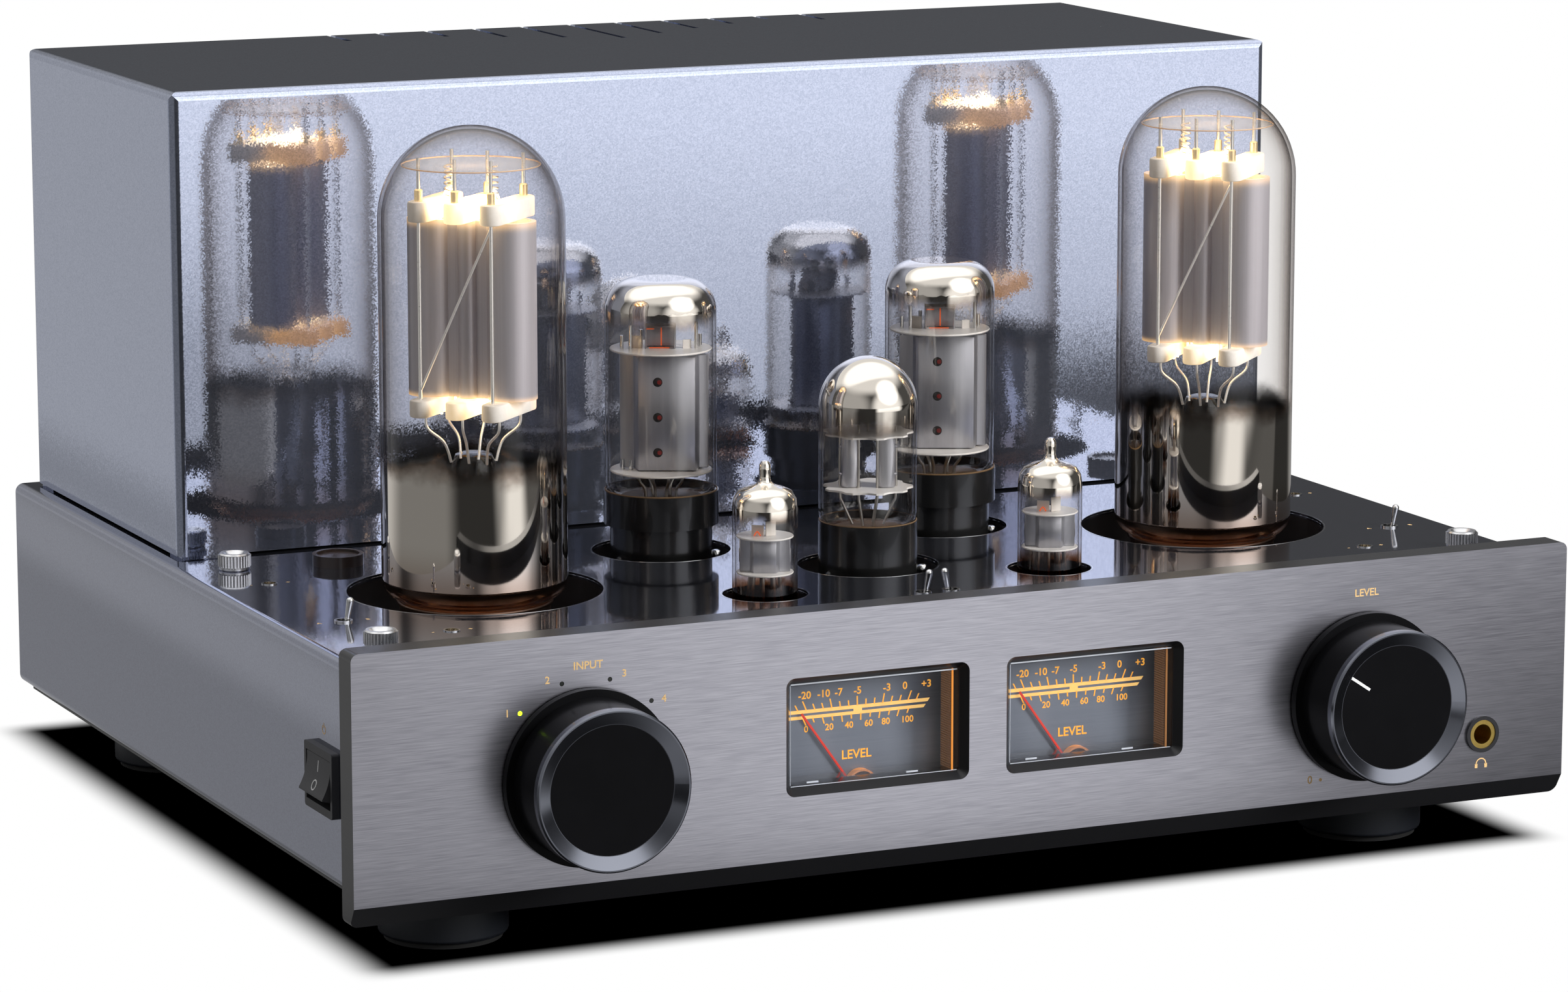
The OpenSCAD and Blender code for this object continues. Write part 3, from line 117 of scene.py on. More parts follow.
STAND_UP = Matrix.Rotation(math.radians(90), 4, "X")
FACE_LEFT = Matrix.Rotation(math.radians(-90), 4, "Z")


# Node trees

class Link:
    """An output of a node; Python operators on a number add Math nodes."""

    def __init__(self, nodes, socket):
        self.nodes = nodes
        self.socket = socket

    def maths(self, operation, first, second):
        return self.nodes.node("ShaderNodeMath", {"operation": operation}, {0: first, 1: second})

    def __add__(self, other):
        return self.maths("ADD", self, other)

    def __radd__(self, other):
        return self.maths("ADD", other, self)

    def __sub__(self, other):
        return self.maths("SUBTRACT", self, other)

    def __rsub__(self, other):
        return self.maths("SUBTRACT", other, self)

    def __mul__(self, other):
        return self.maths("MULTIPLY", self, other)

    def __rmul__(self, other):
        return self.maths("MULTIPLY", other, self)

    def __truediv__(self, other):
        return self.maths("DIVIDE", self, other)

    def __pow__(self, other):
        return self.maths("POWER", self, other)

    def __abs__(self):
        return self.maths("ABSOLUTE", self, 0)

    def peak(self, other):
        return self.maths("MAXIMUM", self, other)


class Nodes:
    """A tree that takes one node at a time: its type, its settings, then its sockets."""

    def __init__(self, tree):
        self.tree = tree
        self.tree.nodes.clear()

    def node(self, kind, settings=None, sockets=None, output=0):
        made = self.tree.nodes.new(kind)
        for key, value in (settings or {}).items():
            setattr(made, key, value)
        for key, value in (sockets or {}).items():
            if isinstance(value, Link):
                self.tree.links.new(value.socket, made.inputs[key])
            else:
                made.inputs[key].default_value = value
        return Link(self, made.outputs[output]) if made.outputs else None

    def ease(self, value, low, high):
        """Smooth step from 0 at low to 1 at high."""
        return self.node("ShaderNodeMapRange", {"interpolation_type": "SMOOTHSTEP"},
                         {0: value, 1: low, 2: high})

    def band(self, value, low, full, fading, high):
        """1 between full and fading, easing to 0 at low and at high."""
        return self.ease(value, low, full) * (1 - self.ease(value, fading, high))


class Finish(Nodes):
    """A material built from nodes on Object coordinates."""

    def __init__(self, name):
        self.material = bpy.data.materials.new(name)
        self.material.use_nodes = True
        super().__init__(self.material.node_tree)

    def place(self):
        """Object coordinates as one vector."""
        return self.node("ShaderNodeTexCoord", output="Object")

    def axes(self):
        """Object coordinates as x, y and z."""
        split = self.node("ShaderNodeSeparateXYZ", sockets={0: self.place()}).socket.node
        return [Link(self, socket) for socket in split.outputs]

    def stretched(self, scale):
        return self.node("ShaderNodeMapping", sockets={"Vector": self.place(), "Scale": scale})

    def noise(self, scale, detail=3):
        """Noise with its own scale along each axis, in features to the metre."""
        return self.node("ShaderNodeTexNoise", None, {
            "Vector": self.stretched(scale), "Scale": 1, "Detail": detail, "Roughness": 0.6})

    def across(self, x, place):
        """Distance to the right of the nearer of two twins that stand at -place and +place."""
        side = self.ease(x, -1 * MM, 1 * MM) * 2 - 1
        return (abs(x) - place) * side

    def mottle(self, scale, detail=3):
        return self.noise((scale, scale, scale), detail)

    def mix(self, share, first, second):
        """Colour between two colours."""
        return self.node("ShaderNodeMix", {"data_type": "RGBA"}, {0: share, 6: first, 7: second}, 2)

    def bump(self, height, strength, depth):
        return self.node("ShaderNodeBump", None, {"Height": height, "Strength": strength, "Distance": depth})

    def principled(self, **sockets):
        return self.node("ShaderNodeBsdfPrincipled", None,
                         {key.replace("_", " "): value for key, value in sockets.items()})

    def see_through(self, colour):
        return self.node("ShaderNodeBsdfTransparent", None, {"Color": colour})

    def blend(self, share, first, second):
        """Shader between two shaders."""
        return self.node("ShaderNodeMixShader", None, {0: share, 1: first, 2: second})

    def done(self, shader):
        self.node("ShaderNodeOutputMaterial", None, {"Surface": shader})
        return self


# Finishes

def shaded(colour, share):
    """The colour made darker."""
    return tuple(part * share for part in colour[:3]) + (1,)


def brushed_front():
    """Front plate: grey brushed face with fine streaks along x, black edges and bevels."""
    metal = Finish("front_brushed_metal")
    y = metal.axes()[1]
    edge = metal.ease(y, plate_front + 0.02 * MM, plate_front + 0.06 * MM)
    streak = metal.noise((90, 1, 4600), 2) * 0.75 + metal.noise((25, 1, 1900), 2) * 0.25
    tone = metal.ease(streak, 0.25, 0.75)
    face = metal.mix(tone, (0.365, 0.362, 0.415, 1), (0.55, 0.547, 0.605, 1))
    return metal.done(metal.principled(
        Base_Color=metal.mix(edge, face, (0.014, 0.014, 0.016, 1)),
        Metallic=1 - edge * 0.85, Roughness=0.28 + tone * 0.04,
        Normal=metal.bump(streak * (1 - edge), 0.06, 0.01 * MM)))


def flake_paint(name, shade, spark, metallic, roughness, spread):
    """Metallic paint with a polished face: fine flakes that tilt each their own way."""
    paint = Finish(name)
    flake = paint.node("ShaderNodeTexVoronoi", {"feature": "F1"},
                       {"Vector": paint.place(), "Scale": 2400}, "Color")
    tone = paint.node("ShaderNodeSeparateColor", None, {0: flake})
    tilt = paint.node("ShaderNodeVectorMath", {"operation": "MULTIPLY_ADD"},
                      {0: flake, 1: (spread,) * 3, 2: (-spread / 2,) * 3})
    straight = paint.node("ShaderNodeNewGeometry", output="Normal")
    leaning = paint.node("ShaderNodeVectorMath", {"operation": "ADD"}, {0: straight, 1: tilt})
    normal = paint.node("ShaderNodeVectorMath", {"operation": "NORMALIZE"}, {0: leaning})
    return paint.done(paint.principled(
        Base_Color=paint.mix(tone, shade, spark), Metallic=metallic,
        Roughness=roughness + tone * 0.02 + paint.mottle(90) * 0.02, Normal=normal))


STAIN = (0.42, 0.22, 0.09, 1)


def glass(name, silver=None, stain=None, shine_low=0.045, face=(0.975, 0.97, 0.965, 1),
          rim=(0.8, 0.77, 0.74, 1), stain_colour=STAIN):
    """Clear glass, silvered where silver(finish) rises to 1 and brown where stain(finish) does."""
    clear = Finish(name)
    facing = clear.node("ShaderNodeLayerWeight", None, {"Blend": 0.5}, "Facing")
    share = facing ** 5 * 0.9 + shine_low
    tone = WHITE
    if silver:
        mask = silver(clear)
        share = share.peak(mask)
        low = clear.ease(clear.axes()[2], deck_top + 2 * MM, deck_top + 20 * MM)
        film = clear.mix(mask * low, (0.5, 0.38, 0.3, 1), (0.82, 0.76, 0.68, 1))
        tone = clear.mix(clear.ease(mask, 0, 0.2), WHITE, film)
    through = clear.blend(facing ** 3, clear.see_through(face), clear.see_through(rim))
    if stain:
        through = clear.blend(stain(clear), through, clear.see_through(stain_colour))
    shine = clear.principled(Base_Color=tone, Metallic=1.0, Roughness=0.02 + clear.mottle(60) * 0.03)
    return clear.done(clear.blend(share, through, shine))


def stained_below(height, soft):
    """Brown stain under a height above the deck."""
    def mask(clear):
        z = clear.axes()[2] + (clear.mottle(220, 4) - 0.5) * (soft * MM)
        return 1 - clear.ease(z, deck_top + (height - soft) * MM, deck_top + height * MM)
    return mask


def silver_below(height, soft):
    """Silvering under a height above the deck, with a smoky edge; the foot stays clear."""
    def mask(clear):
        z = clear.axes()[2]
        smoky = z + (clear.mottle(70, 4) - 0.5) * (soft * MM)
        film = (1 - clear.ease(smoky, deck_top + (height - soft) * MM, deck_top + height * MM)) ** 1.6
        return film * clear.ease(z, deck_top, deck_top + 3.5 * MM)
    return mask


def silver_above(height, soft):
    """Silvering over a height above the deck, with a smoky edge."""
    def mask(clear):
        z = clear.axes()[2] + (clear.mottle(70, 4) - 0.5) * (soft * MM)
        return clear.ease(z, deck_top + height * MM, deck_top + (height + soft) * MM) ** 1.6
    return mask


def plated(name, colour, roughness=0.12):
    """Plated or polished metal with faint wear."""
    metal = Finish(name)
    wear = metal.mottle(900, 4)
    return metal.done(metal.principled(
        Base_Color=metal.mix(wear, shaded(colour, 0.72), colour), Metallic=1.0,
        Roughness=roughness + wear * 0.1))


def painted_glow_wire(name, colour, strength):
    """Wire or pin with a painted glow that stands in for the filaments' light from close by."""
    wire = Finish(name)
    wear = wire.mottle(900, 4)
    tone = wire.mix(wear, shaded(colour, 0.8), colour)
    return wire.done(wire.principled(
        Base_Color=tone, Metallic=1.0, Roughness=0.24 + wear * 0.1,
        Emission_Color=tone, Emission_Strength=strength))


def moulded(name, colour, roughness=0.4, grain=0.2, coat=0.0):
    """Moulded plastic or rubber with a fine grain."""
    plastic = Finish(name)
    speck = plastic.mottle(2600, 3)
    cloud = plastic.mottle(70, 3)
    lighter = tuple(min(part * 1.5 + 0.004, 1) for part in colour[:3]) + (1,)
    return plastic.done(plastic.principled(
        Base_Color=plastic.mix(cloud, colour, lighter), Roughness=roughness + speck * 0.1,
        Coat_Weight=coat, Coat_Roughness=0.05, Normal=plastic.bump(speck, grain, 0.05 * MM)))


def knob_lacquer():
    """Black knob: dull deep disc in the face, polished rim and side."""
    lacquer = Finish("knob_black_lacquer")
    x, y, z = lacquer.axes()
    across = abs(x) - volume.x
    up = z - volume.z
    reach = (across * across + up * up) ** 0.5
    outer = lacquer.ease(reach, 19.9 * MM, 20.3 * MM)
    rim = outer * (1 - lacquer.ease(y, plate_front - KNOB_FACE * MM, plate_front - (KNOB_FACE - 1) * MM))
    side = lacquer.ease(reach, 20 * MM, 24 * MM)
    smear = lacquer.mottle(45, 3)
    deep = lacquer.mix(smear, (0.004, 0.004, 0.0045, 1), (0.007, 0.007, 0.008, 1))
    return lacquer.done(lacquer.principled(
        Base_Color=lacquer.mix(rim, deep, (0.19, 0.2, 0.235, 1)), Metallic=rim,
        Roughness=0.3 - rim * 0.18 + smear * 0.06, Specular_IOR_Level=0.03,
        Coat_Weight=side * 0.08, Coat_Roughness=0.14))


def graphite():
    """Power valve anode: grey satin metal with upright draw lines, and a painted warm glow at its top and
    bottom ends.
    """
    metal = Finish("anode_dark_metal")
    z = metal.axes()[2]
    draw = metal.noise((1400, 1400, 12), 3)
    # Painted glow at the anode's top and bottom ends, standing in for the filaments' light
    top = metal.ease(z, deck_top + (ANODE_TOP - 5) * MM, deck_top + ANODE_TOP * MM)
    low = 1 - metal.ease(z, deck_top + ANODE_LOW * MM, deck_top + (ANODE_LOW + 3) * MM)
    painted_end_glow = (top + low) ** 3
    return metal.done(metal.principled(
        Base_Color=metal.mix(draw, (0.48, 0.445, 0.47, 1), (0.6, 0.57, 0.61, 1)), Metallic=0.4,
        Roughness=0.36 + draw * 0.06, Normal=metal.bump(draw, 0.05, 0.02 * MM),
        Emission_Color=metal.mix(painted_end_glow, (0, 0, 0, 1), (1.0, 0.58, 0.2, 1)), Emission_Strength=0.6))


def sheet_metal(name, dark, light):
    """Pressed valve metal: grey with soft upright shading."""
    metal = Finish(name)
    draw = metal.noise((500, 500, 20), 3)
    return metal.done(metal.principled(
        Base_Color=metal.mix(draw, dark, light), Metallic=0.8, Roughness=0.3 + draw * 0.1,
        Normal=metal.bump(draw, 0.08, 0.02 * MM)))


def painted_glow_ceramic():
    """White ceramic with a painted glow from the filament side, standing in for the filaments' light."""
    ceramic = Finish("ceramic_lit_by_filament")
    x, y, z = ceramic.axes()
    across = ceramic.across(x, power_places[1][0])
    along = y - power_places[1][1]
    reach = (across * across + along * along) ** 0.5
    back = along * 0.91 + across * 0.42
    # Painted glow and shade: weaker on the lower bars, away from the valve's axis and towards the back, where
    # the far faces take a dim orange glow
    lower = 1 - ceramic.ease(z, deck_top + 70 * MM, deck_top + 90 * MM)
    inner = 1 - ceramic.ease(reach + back * 0.3, 3 * MM, 16 * MM)
    ahead = 1 - ceramic.ease(back, 2 * MM, 10 * MM) * 0.85
    near = inner * ahead * (1 - lower * 0.5)
    chalk = ceramic.mottle(600, 3)
    rear = ceramic.mix(ceramic.ease(back, 1 * MM, 8 * MM), (0.016, 0.012, 0.008, 1), (0.16, 0.066, 0.006, 1))
    warm = ceramic.mix(near, rear, (1.0, 0.72, 0.36, 1))
    return ceramic.done(ceramic.principled(
        Base_Color=ceramic.mix(chalk, (0.72, 0.68, 0.62, 1), (0.86, 0.84, 0.8, 1)),
        Roughness=0.45 + chalk * 0.2, Emission_Color=warm, Emission_Strength=4.0))


def mica_sheet(name, milkiness):
    """Thin split mica, from clear to milky."""
    mica = Finish(name)
    cloud = mica.mottle(260, 4)
    milk = mica.principled(Base_Color=mica.mix(cloud, (0.82, 0.78, 0.74, 1), (0.93, 0.91, 0.88, 1)),
                           Roughness=0.25 + cloud * 0.2)
    through = mica.see_through((0.95, 0.93, 0.9, 1))
    return mica.done(mica.blend(milkiness + cloud * 0.25, through, milk))


def glowing(name, colour, strength, base=BLACK):
    """A piece that gives light, a little uneven: a real glow for filaments, heaters and lamps, a painted glow
    for parts that are no lamps.
    """
    lit = Finish(name)
    flicker = lit.mottle(400, 3)
    return lit.done(lit.principled(
        Base_Color=base, Roughness=0.5, Emission_Color=lit.mix(flicker, shaded(colour, 0.6), colour),
        Emission_Strength=strength))


def lamp_row():
    """Input lamps: the first at the left is lit."""
    lamps = Finish("input_lamp_lens")
    x = lamps.axes()[0]
    lit = 1 - lamps.ease(x, selector.x - 16 * MM, selector.x - 14 * MM)
    return lamps.done(lamps.principled(
        Base_Color=lamps.mix(lit, (0.01, 0.012, 0.01, 1), (0.3, 0.5, 0.02, 1)), Roughness=0.2,
        Emission_Color=lamps.mix(lit, (0, 0, 0, 1), (0.55, 1.0, 0.02, 1)), Emission_Strength=3.0))


def lamp_strip():
    """Edge strip of the meters: the left one is lit brighter."""
    strip = Finish("meter_lamp_strip")
    right = strip.ease(strip.axes()[0], -1 * MM, 1 * MM)
    return strip.done(strip.principled(
        Base_Color=(0.3, 0.14, 0.05, 1), Roughness=0.4,
        Emission_Color=strip.mix(right, (0.9, 0.3, 0.03, 1), (0.24, 0.1, 0.03, 1)), Emission_Strength=0.85))


def dial_metal():
    """Meter dial: blue-grey metal brushed along x, with a painted sheen that lightens its left edge, its
    lower right corner and its middle.
    """
    dial = Finish("meter_dial_metal")
    streak = dial.noise((40, 1, 2600), 3)
    cloud = dial.mottle(30, 2)
    x, _, z = dial.axes()
    across = dial.across(x, meter_places[1])
    # Painted sheen: lighter at the left edge, in the lower right corner and across the middle, with the
    # brushing's streaks
    left = 1 - dial.ease(across, -30 * MM, -6 * MM)
    corner = dial.ease(across, 6 * MM, 26 * MM) * (1 - dial.ease(z, 48 * MM, 70 * MM))
    body = dial.band(across, -24 * MM, -10 * MM, 8 * MM, 22 * MM)
    pale = left * 0.5 + corner * 0.6 + body * 0.46 + streak * 0.22
    tone = dial.mix(pale, (0.05, 0.066, 0.105, 1), (0.36, 0.4, 0.48, 1))
    return dial.done(dial.principled(
        Base_Color=tone, Metallic=0.5, Roughness=0.4 + cloud * 0.15,
        Normal=dial.bump(streak, 0.08, 0.01 * MM)))


def laminate():
    """Circuit board: green laminate with pale tracks."""
    board = Finish("board_green_laminate")
    track = board.node("ShaderNodeTexBrick", {"offset": 0.5}, {
        "Vector": board.place(), "Scale": 60, "Color1": (0.01, 0.06, 0.02, 1),
        "Color2": (0.012, 0.075, 0.025, 1), "Mortar": (0.03, 0.14, 0.05, 1)})
    return board.done(board.principled(Base_Color=track, Roughness=0.4))


def print_ink(name, dark, light):
    """Printed ink, a little uneven."""
    ink = Finish(name)
    return ink.done(ink.principled(Base_Color=ink.mix(ink.mottle(1500), dark, light), Roughness=0.5))


print_gold = print_ink("print_gold", GOLD_PRINT, (0.9, 0.62, 0.3, 1))
print_white = print_ink("print_white", (0.75, 0.75, 0.75, 1), WHITE)
front_metal = brushed_front()
chassis_paint = flake_paint("chassis_flake_paint", (0.29, 0.3, 0.37, 1), (0.34, 0.36, 0.44, 1),
                            metallic=0.97, roughness=0.03, spread=0.003)
cover_paint = flake_paint("cover_flake_paint", (0.38, 0.42, 0.54, 1), (0.5, 0.54, 0.68, 1),
                          metallic=0.93, roughness=0.02, spread=0.014)
black_knob = knob_lacquer()
chrome = plated("bright_nickel", (0.8, 0.8, 0.8, 1), 0.1)
gold = plated("gold_plate", (0.98, 0.7, 0.2, 1), 0.3)
brass = plated("brass_turned", (0.7, 0.5, 0.22, 1), 0.2)
copper = plated("copper_boss", (0.4, 0.19, 0.11, 1), 0.3)
# Copper of the meters' boss rims with a painted glow
painted_glow_copper = glowing("boss_lit_copper", (0.85, 0.36, 0.12, 1), 0.6, (0.5, 0.2, 0.1, 1))
steel_wire = plated("steel_wire", (0.72, 0.69, 0.65, 1), 0.3)
rod_painted_glow = painted_glow_wire("rod_bright_nickel", (0.95, 0.92, 0.87, 1), 0.14)
pin_painted_glow = painted_glow_wire("pin_bright_brass", (0.95, 0.72, 0.4, 1), 0.35)
nut_metal = plated("nut_aluminium", (0.86, 0.86, 0.87, 1), 0.24)
black_plastic = moulded("black_plastic", (0.016, 0.016, 0.018, 1), 0.35, 0.2)
matt_plastic = moulded("switch_matt_plastic", (0.03, 0.03, 0.033, 1), 0.5, 0.3)
foot_plastic = moulded("foot_satin_plastic", (0.014, 0.016, 0.021, 1), 0.42, 0.3)
rubber = moulded("pad_rubber", (0.02, 0.02, 0.02, 1), 0.75, 0.5)
bakelite = moulded("base_black_bakelite", (0.005, 0.005, 0.005, 1), 0.2, 0.05, 0.3)
brown_base = plated("base_brown_copper", (0.3, 0.19, 0.14, 1), 0.34)
glue = moulded("base_brown_glue", (0.11, 0.065, 0.03, 1), 0.5, 0.4)
tray_black = moulded("socket_tray_black", (0.03, 0.027, 0.028, 1), 0.25, 0.1, 0.5)
can_paint = moulded("can_black_paint", (0.012, 0.012, 0.012, 1), 0.3, 0.3)
sleeve = moulded("capacitor_sleeve", (0.01, 0.015, 0.05, 1), 0.35, 0.05)
cap_brown = moulded("cap_brown_plastic", (0.022, 0.013, 0.01, 1), 0.3, 0.1, 0.4)
red_band = moulded("band_red", (0.35, 0.015, 0.012, 1), 0.35, 0.1)
white_band = moulded("band_white", (0.6, 0.6, 0.58, 1), 0.35, 0.1)
needle_red = moulded("needle_red", (0.75, 0.045, 0.03, 1), 0.4, 0.05)
anode_dark = graphite()
valve_metal = sheet_metal("valve_grey_metal", (0.37, 0.37, 0.405, 1), (0.56, 0.565, 0.61, 1))
ceramic_painted_glow = painted_glow_ceramic()
mica_milky = mica_sheet("mica_milky", 0.9)
mica_clear = mica_sheet("mica_clear", 0.05)
filament_hot = glowing("filament_white_hot", (1.0, 0.72, 0.36, 1), 14.0)
heater_red = glowing("heater_orange", (1.0, 0.14, 0.02, 1), 0.9)
painted_hole_shade = moulded("anode_hole_dark", (0.006, 0.005, 0.005, 1), 0.6, 0.1)
painted_hole_glow = glowing("anode_hole_glow", (0.22, 0.008, 0.004, 1), 0.55)
painted_mica_glow = glowing("mica_rim_warm", (1.0, 0.45, 0.16, 1), 0.3, (0.5, 0.4, 0.3, 1))
flag_white = moulded("getter_flag_white", (0.62, 0.58, 0.54, 1), 0.4, 0.1)
# Orange prints of the meters' scales, with a painted glow as if lit by the meter lamps
scale_orange = glowing("scale_orange_print", (1.0, 0.46, 0.05, 1), 1.0, (0.5, 0.2, 0.03, 1))
bar_orange = glowing("bar_pale_orange_print", (1.0, 0.62, 0.2, 1), 1.0, (0.5, 0.25, 0.06, 1))
strip_orange = lamp_strip()
strip_dim = glowing("meter_lamp_column", (0.16, 0.07, 0.025, 1), 0.6, (0.12, 0.08, 0.06, 1))
# Pale strips painted as highlights on the meter lenses' edges
lens_highlight_strips = moulded("lens_rim_acrylic", (0.45, 0.48, 0.53, 1), 0.1, 0.02, 1.0)
meter_black = moulded("meter_case_black", (0.01, 0.01, 0.01, 1), 0.5, 0.2)
power_glass = glass("power_valve_glass", silver_below(48, 12), stained_below(5, 6), 0.018,
                    face=(0.985, 0.98, 0.976, 1), rim=(0.36, 0.3, 0.26, 1), stain_colour=(0.6, 0.44, 0.34, 1))
driver_glass = glass("driver_valve_glass", silver_above(72, 9), stained_below(20, 3))
centre_glass = glass("centre_valve_glass", silver_above(39, 13), stained_below(14, 3))
small_glass = glass("small_valve_glass", silver_above(22.5, 5), stained_below(7, 7))
lens_clear = glass("meter_lens_acrylic", shine_low=0.012)

NODE_FINISHES = {
    "faceplate": front_metal, "chassis_shell": chassis_paint, "rear_panel": chassis_paint,
    "bottom_plate": can_paint, "transformer_cover": cover_paint, "feet": foot_plastic,
    "foot_pads": rubber, "foot_screws": chrome, "panel_screws": chrome, "mains_transformer": can_paint,
    "output_transformer_left": can_paint, "output_transformer_right": can_paint,
    "circuit_board": laminate(), "filter_capacitors": sleeve, "power_valve_sockets": tray_black,
    "octal_sockets": tray_black, "small_valve_sockets": tray_black, "power_valve_glasses": power_glass,
    "power_valve_bases": brown_base, "power_valve_anodes": anode_dark, "driver_valve_glasses": driver_glass,
    "driver_valve_bases": bakelite, "centre_valve_glass": centre_glass, "centre_valve_base": bakelite,
    "small_valve_glasses": small_glass, "selector_knob": black_knob, "volume_knob": black_knob,
    "selector_shaft": chrome, "volume_shaft": chrome, "selector_switch": matt_plastic,
    "volume_control": matt_plastic, "headphone_socket": gold, "headphone_ring": black_plastic,
    "input_lamps": lamp_row(), "meter_cases": meter_black, "meter_dials": dial_metal(),
    "meter_lenses": lens_clear, "meter_needle_left": needle_red, "meter_needle_right": needle_red,
    "power_switch": matt_plastic, "power_rocker": matt_plastic, "toggle_lever_left": chrome,
    "toggle_lever_right": chrome, "toggle_lever_centre_left": chrome, "toggle_lever_centre_right": chrome,
    "toggle_bodies": chrome, "trimmer_screw_back_left": brass, "trimmer_screw_front_left": brass,
    "trimmer_screw_front_right": brass, "trimmer_screw_back_right": brass, "trimmer_bodies": chrome,
    "deck_caps": cap_brown, "line_sockets": gold, "speaker_posts": gold, "mains_inlet": black_plastic,
}
for node, finish in NODE_FINISHES.items():
    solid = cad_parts[node]
    for index in range(len(solid.material_slots)):
        solid.material_slots[index].material = finish.material


# Mesh making

# Degrees between faces over which an edge stays sharp: in shapes, then in bevels and grown meshes
CREASE = 40
SHARP = 50


class Shape:
    """Solids gathered into one mesh, in millimetres of the frame that each is given."""

    def __init__(self):
        self.solids = bmesh.new()

    def turned(self, profile, place, sides=64, ring=False):
        """Spins (radius, height) points round the upright axis; a ring's profile closes on itself."""
        rows = []
        for radius, height in profile:
            count = sides if radius else 1
            angles = [2 * math.pi * i / sides for i in range(count)]
            rows.append([self.solids.verts.new(
                place @ Vector((radius * math.cos(a), radius * math.sin(a), height))) for a in angles])
        for lower, upper in zip(rows, rows[1:] + (rows[:1] if ring else [])):
            for i in range(sides):
                j = (i + 1) % sides
                corners = [lower[i % len(lower)], lower[j % len(lower)],
                           upper[j % len(upper)], upper[i % len(upper)]]
                corners = list(dict.fromkeys(corners))
                if len(corners) > 2:
                    self.solids.faces.new(corners)

    def prism(self, outline, low, high, place):
        """Raises an X-Y outline from one height to another."""
        floor = [self.solids.verts.new(place @ Vector((x, y, low))) for x, y in outline]
        roof = [self.solids.verts.new(place @ Vector((x, y, high))) for x, y in outline]
        self.solids.faces.new(floor[::-1])
        self.solids.faces.new(roof)
        for i in range(len(outline)):
            j = (i + 1) % len(outline)
            self.solids.faces.new([floor[i], floor[j], roof[j], roof[i]])

    def block(self, low, high, place):
        self.prism([(low[0], low[1]), (high[0], low[1]), (high[0], high[1]), (low[0], high[1])],
                   low[2], high[2], place)

    def words(self, text, size, place, lift=0.05):
        """Flat lettering in the X-Y plane of its place, middle on the origin."""
        curve = bpy.data.curves.new("lettering", "FONT")
        curve.body = text
        curve.size = size
        curve.align_x = "CENTER"
        curve.align_y = "CENTER"
        curve.extrude = lift / 2
        curve.resolution_u = 4
        curve.offset = 0.016 * size
        holder = bpy.data.objects.new("lettering", curve)
        scene.collection.objects.link(holder)
        view = bpy.context.evaluated_depsgraph_get()
        flat = bpy.data.meshes.new_from_object(holder.evaluated_get(view))
        flat.transform(place)
        self.solids.from_mesh(flat)
        bpy.data.objects.remove(holder)
        bpy.data.curves.remove(curve)
        bpy.data.meshes.remove(flat)

    def soften(self, width, steps=2):
        """Rounds the sharp edges."""
        bmesh.ops.recalc_face_normals(self.solids, faces=self.solids.faces)
        sharp = [e for e in self.solids.edges
                 if len(e.link_faces) == 2 and e.calc_face_angle(0) > math.radians(SHARP)]
        bmesh.ops.bevel(self.solids, geom=sharp, offset=width * MM, segments=steps, affect="EDGES",
                        profile=0.5, clamp_overlap=True)

    def mesh(self, name):
        """The finished mesh, smooth but for edges sharper than CREASE; the Shape is used up."""
        bmesh.ops.remove_doubles(self.solids, verts=self.solids.verts, dist=0.0005 * MM)
        bmesh.ops.recalc_face_normals(self.solids, faces=self.solids.faces)
        made = bpy.data.meshes.new(name)
        self.solids.to_mesh(made)
        self.solids.free()
        made.polygons.foreach_set("use_smooth", [True] * len(made.polygons))
        made.set_sharp_from_angle(angle=math.radians(CREASE))
        return made


def piece(name, form, finish, body=AMPLIFIER, replaces=()):
    """A finished piece, from a Shape or a mesh, that rides on a body of the solids."""
    mesh = form.mesh(name) if isinstance(form, Shape) else form
    made = bpy.data.objects.new(name, mesh)
    scene.collection.objects.link(made)
    mesh.materials.clear()
    mesh.materials.append(finish.material)
    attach(made, body)
    if replaces:
        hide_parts(*replaces)


def arc(centre, radius, start, end, steps):
    """Points of an arc, angles in degrees."""
    turns = [math.radians(start + (end - start) * i / steps) for i in range(steps + 1)]
    return [(centre[0] + radius * math.cos(t), centre[1] + radius * math.sin(t)) for t in turns]


def bent(points, place, steps=6):
    """A smooth path through a few points of a frame."""
    way = []
    ends = [points[0]] + list(points) + [points[-1]]
    for i in range(len(points) - 1):
        a, b, c, d = (Vector(p) for p in ends[i:i + 4])
        for s in range(steps):
            t = s / steps
            way.append(0.5 * ((2 * b) + (c - a) * t + (2 * a - 5 * b + 4 * c - d) * t ** 2
                              + (3 * b - a - 3 * c + d) * t ** 3))
    way.append(Vector(points[-1]))
    return [place @ point for point in way]


def upright(x, y, low, high, place):
    """A straight path up in a frame."""
    return [place @ Vector((x, y, z)) for z in (low, high)]


# Geometry Nodes recipes

